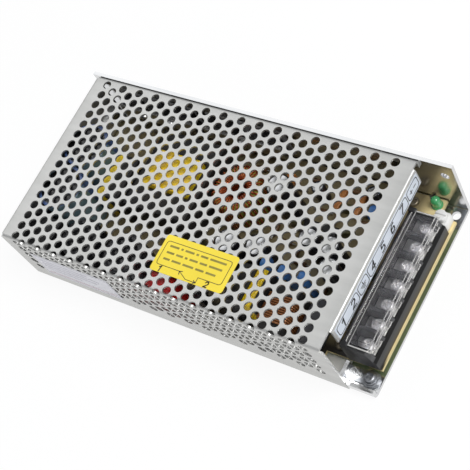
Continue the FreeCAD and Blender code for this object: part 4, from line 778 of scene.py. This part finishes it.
def side_label_print():
    """Pale frame and rows, and a faint red line at the foot."""
    face = (Vector((-86.9, -49.1, 6.0)), X, Z)
    marks = frame_line(face, 1.2, 1.2, 47.8, 18.8, 1.2, 0.22)
    printed(marks, "side_label_frame", grey_ink)
    rows = []
    for k, length in enumerate((30.0, 36.0, 33.0, 22.0)):
        row = 15.6 - 2.9 * k
        rows.append(stroke(face, (4.0, row), (4.0 + length, row), 0.9))
    printed(rows, "side_label_rows", grey_ink)
    printed([stroke(face, (3.0, 3.0), (46.0, 3.0), 0.7)], "side_label_line", red_ink)


def cap_model(radius, high, sleeve, plate, plate_radius, rim, dip):
    """Electrolytic can: sleeve rolled over the rim and a pressed plate inside it."""
    can = drum(radius, BOARD_TOP, high, 56)
    edit(can, "EDGE")
    pick(can, "EDGE", lambda m, e: m.z > high - 0.01)
    bpy.ops.mesh.bevel(offset=rim * MM, segments=5)
    bpy.ops.object.mode_set(mode="OBJECT")
    can.data.materials.append(sleeve)
    step_face(can, lambda m, n: n.z > 0.99 and m.z > high - 0.01, radius - rim - plate_radius, -dip)

    def on_plate(m, n):
        return m.z > high - dip - 0.02 and n.z > 0.9 and math.hypot(m.x, m.y) < plate_radius

    paint(can, plate, on_plate)
    return can


def round_cans(node, name, places, high, sleeve, plate, share, rim, dip):
    """Cans at places (x, y, radius), each with a plate that fills this share of its top."""
    cans = []
    for x, y, radius in places:
        can = cap_model(radius, high, sleeve, plate, (radius - rim) * share, rim, dip)
        can.location = (x * MM, y * MM, 0)
        settle(can)
        cans.append(can)
    return ready(joined(cans, name), node, None)


def wire_loop(width, height, corner, wire):
    """Closed rounded loop of wire standing in the XZ plane."""
    clear_selection()
    bpy.ops.mesh.primitive_plane_add(size=1)
    loop = named("loop")
    loop.scale = (width * MM, height * MM, 1)
    loop.rotation_euler = (math.pi / 2, 0, 0)
    settle(loop)
    edit(loop)
    bpy.ops.mesh.select_all(action="SELECT")
    bpy.ops.mesh.bevel(offset=corner * MM, segments=3, affect="VERTICES")
    bpy.ops.mesh.select_all(action="SELECT")
    bpy.ops.mesh.delete(type="ONLY_FACE")
    bpy.ops.object.mode_set(mode="OBJECT")
    bpy.ops.object.convert(target="CURVE")
    loop = bpy.context.object
    loop.data.bevel_depth = wire / 2 * MM
    loop.data.bevel_resolution = 1
    bpy.ops.object.convert(target="MESH")
    return bpy.context.object


def choke_winding():
    """Strands laid round the ring core, each leaning a little its own way."""
    strands = 38
    middle_x, middle_y, middle_z, ring = 1.3, 15.0, 17.05, 8.9
    loop = wire_loop(7.6, 19.2, 1.6, WIRE)
    places = []
    for k in range(strands):
        angle = 2 * math.pi * k / strands
        lean = 0.06 * math.sin(7 * angle)
        places.append((middle_x + ring * math.cos(angle), middle_y + ring * math.sin(angle), middle_z,
                       (0, 0, angle + lean)))
    winding = spread_out(loop, places, "choke_strands")
    ready(winding, "output_choke_winding", copper_wire)


def filter_winding():
    """Strands side by side on the legs of the line filter."""
    loop = wire_loop(15.6, 19.6, 2.4, WIRE)
    places = [(51.2, -40.0 + 1.13 * k, 16.75) for k in range(12)]
    winding = spread_out(loop, places, "filter_strands")
    ready(winding, "line_filter_coils", brown_wire)


def flap():
    """Clear moulding over the terminals, with pale ribs along and across it; the ribs, the front edges and
    the teeth are painted pale as highlights.
    """
    piece = softened("terminal_cover", "flap_moulding", 0.12, clear_flap, "flap", 2)
    # Painted highlight on the flap's front edges and teeth.
    paint(piece, flap_highlight, lambda m, n: abs(n.z) < 0.75 and m.x > 99.5 or m.x > 100.15)
    low, high = 22.3, 22.92
    ribs = [block(86.3, 86.8, -37.4, 30.6, low + 0.1, high)]
    for x0, x1 in ((88.1, 88.4), (97.7, 98.0), (99.3, 99.7)):
        ribs.append(block(x0, x1, -37.4, 30.6, low, high))
    for y in (-37.6, 30.2):
        ribs.append(block(86.4, 99.8, y, y + 0.6, low, high))
    for rib in ribs:
        round_edges(rib, 0.15, 2)
    rim = joined(ribs, "flap_ribs")
    # The ribs carry the painted highlight.
    ready(rim, None, flap_highlight, "flap")


def screws():
    """Screws of the terminals, of the earth, of the board's corners and of the clamp bars."""
    terminals = [(93.5, FIRST_TERMINAL + TERMINAL_PITCH * k, 16.2, (0, 0, 0.4 + 1.3 * k)) for k in range(7)]
    corners = [(x, y, BOARD_TOP + 0.05, (0, 0, x))
               for x, y in ((-72.4, -41.5), (-72.4, 41.5), (77.1, -33.5), (77.1, 41.5))]
    clamps = [(x, 40.5, 20.0, (math.pi / 2, 0, 0.0)) for x in (-73.4, -56.4, -12.4)]
    for node, name, finish, places, sizes in (
            ("terminal_screws", "terminal_screw_heads", head_finish, terminals, (3.0, 2.2, 1.4, 4.4, 1.0)),
            ("earth_screw", "earth_screw_head", lug_finish, [(95.4, -42.3, 4.0, (0, 0, 0.3))],
             (2.75, 1.8, 1.4, 2.2, 0.9)),
            ("board_screws", "board_screw_heads", dull_screw, corners, (2.5, 1.6, 1.3, 1.4, 0.8)),
            ("clamp_screws", "clamp_screw_heads", screw_finish, clamps, (2.7, 1.7, 1.3, 1.4, 0.8))):
        ready(spread_out(screw_model(*sizes), places, name), node, finish)


def lamp():
    """Domed green lens on its rim."""
    x, y, top = 88.3, 43.2, 13.0
    body = drum(2.3, BOARD_TOP, top, 32, x, y)
    edit(body, "EDGE")
    pick(body, "EDGE", lambda m, e: m.z > top - 0.01)
    bpy.ops.mesh.bevel(offset=2.2 * MM, segments=7)
    rim = drum(2.7, BOARD_TOP, BOARD_TOP + 1.0, 32, x, y)
    round_edges(rim, 0.2, 2)
    ready(joined([body, rim], "lamp_lens"), "power_led", green_lens)


def board():
    """Board with its laminate edge and its green underside."""
    piece = merged_copy("circuit_board", "board_plate")
    # The top carries the painted shade under the cover and the painted shadow in the near front corner.
    ready(piece, "circuit_board", shaded_board_finish)
    paint(piece, board_edge, lambda m, n: abs(n.z) < 0.5)
    paint(piece, board_green, lambda m, n: n.z < -0.5)


# Places on the board: x, y, and whether the part lies across, or its turn
AXIAL_PARTS = [
    (8, -26, 0), (16, -24, 1), (24, -22, 0), (20, 8, 1), (28, 4, 0), (38, 24, 0), (46, 22, 1), (62, 24, 0),
    (70, 30, 1), (66, 10, 0), (74, 6, 1), (74, -6, 0), (58, -14, 1), (40, -4, 0), (36, 2, 1), (20, 32, 0),
    (28, 38, 0), (70, 16, 0), (78, 24, 1), (79, 14, 1), (-8, -6, 1), (-4, 36, 0), (-8, 28, 1),
    (-60, 26, 0), (-52, 34, 1), (-66, 34, 0), (8, 36, 1), (79, -16, 1), (62, -4, 0), (50, 38, 0)]
FILM_PARTS = [
    (14, 2, 0.2), (34, -20, 1.2), (56, 16, 0.4), (44, 10, 1.57), (66, 38, 0), (76, 0, 0.7),
    (4, -8, 1.2), (-14, -10, 0.3), (-20, -30, 0), (30, 14, 0.1), (60, 30, 1.4), (50, 28, 0.2)]


def laid_down(piece, x, y, across):
    """Lay an upright part on the board, along it or across."""
    piece.rotation_euler = (0, math.pi / 2, across * math.pi / 2)
    piece.location = (x * MM, y * MM, (BOARD_TOP + 1.5) * MM)
    settle(piece)
    return piece


def board_clutter():
    """Small parts between the big ones: axial parts with their leads, and film capacitors."""
    bodies, leads, films = [], [], []
    half = 3.2
    for x, y, across in AXIAL_PARTS:
        body = drum(1.15, -half, half, 16)
        edit(body, "EDGE")
        pick(body, "EDGE", lambda m, e: abs(m.z) > half - 0.01)
        bpy.ops.mesh.bevel(offset=0.4 * MM, segments=2)
        bpy.ops.object.mode_set(mode="OBJECT")
        bodies.append(laid_down(body, x, y, across))
        leads.append(laid_down(drum(0.35, -half - 2, half + 2, 8), x, y, across))
    for x, y, turn in FILM_PARTS:
        film = block(-half, half, -1.3, 1.3, BOARD_TOP, 12.5)
        round_edges(film, 0.7, 3)
        film.rotation_euler = (0, 0, turn)
        film.location = (x * MM, y * MM, 0)
        settle(film)
        films.append(film)
    for group, name, finish, slot in ((bodies, "axial_bodies", dark_body, "power_resistors"),
                                      (leads, "wire_leads", tinned_finish, "fuse_clips"),
                                      (films, "film_blocks", olive_dip, "small_capacitors")):
        piece = joined(group, name)
        ready(piece, None, finish)


def all_cans():
    """The four kinds of electrolytic cans, at places (x, y, radius)."""
    mains = round_cans("main_capacitors", "main_cans", [(-85.3, -13.9, 12.2), (-85.3, 10.9, 12.2)],
                       34.0, blue_sleeve, black_plate, 0.93, 0.8, 0.4)
    paint(mains, pale_stripe, lambda m, n: n.x * 0.8 - n.y * 0.6 > 0.55 and n.z < 0.8)
    round_cans("line_capacitors", "line_cans", [(-58.9, -35.0, 10.6), (-32.4, -35.0, 10.6)],
               33.0, black_sleeve, black_plate, 0.8, 1.0, 0.5)
    round_cans("output_capacitors", "output_cans",
               [(13.4, -12.6, 5.9), (23.7, 20.6, 5.9), (28.9, -10.2, 5.5),
                (50.7, 0.8, 4.7), (62.1, 0.2, 4.7), (66.7, -9.8, 4.8)],
               31.0, black_sleeve, can_aluminium, 0.97, 0.5, 0.2)
    round_cans("small_capacitors", "small_cans",
               [(-10.9, -22, 3.2), (-1.9, -22, 3.2), (34.6, 31, 3.2), (61.6, 36, 3.2)],
               17.6, black_sleeve, can_aluminium, 0.85, 0.4, 0.2)


# Pieces that keep their node's form: node, piece, width of the broken edge, finish, body and steps
SOFTENED = [
    ("main_transformer_coil", "main_coil_tape", 1.2, yellow_tape, "supply", 2),
    ("aux_transformer_coil", "aux_coil_tape", 0.8, yellow_tape, "supply", 2),
    ("driver_transformer_coil", "driver_coil_tape", 0.8, yellow_tape, "supply", 2),
    ("main_transformer_core", "main_core_halves", 0.4, ferrite, "supply", 2),
    ("driver_transformer_core", "driver_core_halves", 0.4, ferrite, "supply", 2),
    ("aux_transformer_core", "aux_core_halves", 0.4, ferrite, "supply", 2),
    ("disc_capacitors", "disc_dips", 1.1, blue_dip, "supply", 3),
    ("power_resistors", "resistor_coats", 0.8, orange_coat, "supply", 3),
    ("rear_film_capacitor", "rear_film_box", 0.6, black_moulding, "supply", 2),
    ("line_film_capacitor", "line_film_box", 0.6, grey_box, "supply", 2),
    ("terminal_block", "block_moulding", 0.2, black_moulding, "supply", 2),
    ("trimmer_body", "trimmer_case", 0.4, white_moulding, "supply", 2),
    ("trimmer_knob", "trimmer_dial", 0.2, white_moulding, "knob", 2),
    ("selector_body", "selector_case", 0.12, red_moulding, "supply", 2),
    ("earth_lug", "earth_fork", 0.15, lug_finish, "supply", 2),
    ("earth_washers", "earth_rings", 0.15, lug_finish, "supply", 2),
    ("terminal_plates", "contact_plates", 0.12, tinned_finish, "supply", 2),
    ("terminal_washers", "wire_clamps", 0.12, tinned_finish, "supply", 2),
]


def block_shades():
    """The bays of the terminal block are a deeper black as painted shade, and its front slants are a paler
    grey as a painted sheen.
    """
    moulding = bpy.data.objects["block_moulding"]
    # Painted shade: the bay floors of the terminal block in deeper black.
    paint(moulding, bay_shade_black, lambda m, n: n.z > 0.3 and m.z < 15.2)
    # Painted sheen: the front slants of the terminal block in paler grey.
    paint(moulding, slant_sheen_grey, lambda m, n: m.z > 14.8 and m.x > 96.0 and n.x > 0.3)


perforated_cover()
top_label_print()
strip_label_print()
side_label_print()
screws()
flap()
lamp()
board()
board_clutter()
choke_winding()
filter_winding()
all_cans()
for row in SOFTENED:
    softened(*row)
block_shades()

# Studio


def studio_floor():
    """Pale floor that the camera and the reflections see almost white."""
    clear_selection()
    bpy.ops.mesh.primitive_plane_add(size=6.0, location=(0, 0, -0.0002))
    floor = named("floor")
    material, nodes, links, shader = new_material("studio_floor")
    shader.inputs["Base Color"].default_value = (0.9, 0.9, 0.9, 1)
    shader.inputs["Roughness"].default_value = 0.9
    path = nodes.new("ShaderNodeLightPath")
    seen = path.outputs["Is Camera Ray"]
    for ray in ("Is Glossy Ray", "Is Transmission Ray"):
        either = nodes.new("ShaderNodeMath")
        either.operation = "MAXIMUM"
        links.new(seen, either.inputs[0])
        links.new(path.outputs[ray], either.inputs[1])
        seen = either.outputs[0]
    amount = nodes.new("ShaderNodeMath")
    amount.operation = "MULTIPLY"
    amount.inputs[1].default_value = 0.9
    links.new(seen, amount.inputs[0])
    glow = nodes.new("ShaderNodeEmission")
    glow.inputs["Strength"].default_value = 1.0
    mixed = nodes.new("ShaderNodeMixShader")
    links.new(amount.outputs[0], mixed.inputs["Fac"])
    links.new(shader.outputs[0], mixed.inputs[1])
    links.new(glow.outputs[0], mixed.inputs[2])
    links.new(mixed.outputs[0], nodes["Material Output"].inputs["Surface"])
    floor.data.materials.append(material)


def studio_walls():
    """Soft light from all round, with a white background for the camera."""
    world = bpy.data.worlds.new("studio")
    bpy.context.scene.world = world
    world.use_nodes = True
    nodes, links = world.node_tree.nodes, world.node_tree.links
    sky = nodes["Background"]
    sky.inputs["Color"].default_value = (0.95, 0.97, 1.0, 1)
    sky.inputs["Strength"].default_value = 0.46
    white = nodes.new("ShaderNodeBackground")
    white.inputs["Strength"].default_value = 1.0
    path = nodes.new("ShaderNodeLightPath")
    backdrop = nodes.new("ShaderNodeMixShader")
    links.new(path.outputs["Is Camera Ray"], backdrop.inputs["Fac"])
    links.new(sky.outputs[0], backdrop.inputs[1])
    links.new(white.outputs[0], backdrop.inputs[2])
    links.new(backdrop.outputs[0], nodes["World Output"].inputs["Surface"])


def softbox(name, place, target, size, power):
    """Rectangular lamp at a place, turned to a target, both in metres."""
    light = bpy.data.lights.new(name, "AREA")
    light.shape = "RECTANGLE"
    light.size, light.size_y = size
    light.energy = power
    holder = bpy.data.objects.new(name, light)
    holder.location = place
    holder.rotation_euler = (Vector(target) - Vector(place)).to_track_quat("-Z", "Y").to_euler()
    bpy.context.collection.objects.link(holder)


studio_floor()
studio_walls()
softbox("key_light", (-0.95, 0.42, 1.15), (0, 0, 0.02), (1.2, 1.2), 4.2)
softbox("fill_light", (0.80, 0.15, 1.25), (0.05, 0, 0.02), (0.7, 0.7), 15)
softbox("near_light", (0.1, -1.0, 0.8), (0, 0, 0.02), (0.8, 0.5), 1.4)

camera_data = bpy.data.cameras.new("camera")
camera_data.sensor_width = 36.0
camera_data.lens = 103.02
camera = bpy.data.objects.new("camera", camera_data)
camera.location = (0.3406859, -0.1848809, 0.5135829)
camera.rotation_euler = tuple(math.radians(a) for a in (31.162194, 21.786751, 29.978838))
bpy.context.collection.objects.link(camera)
bpy.context.scene.camera = camera
bpy.context.scene.view_settings.view_transform = "Standard"
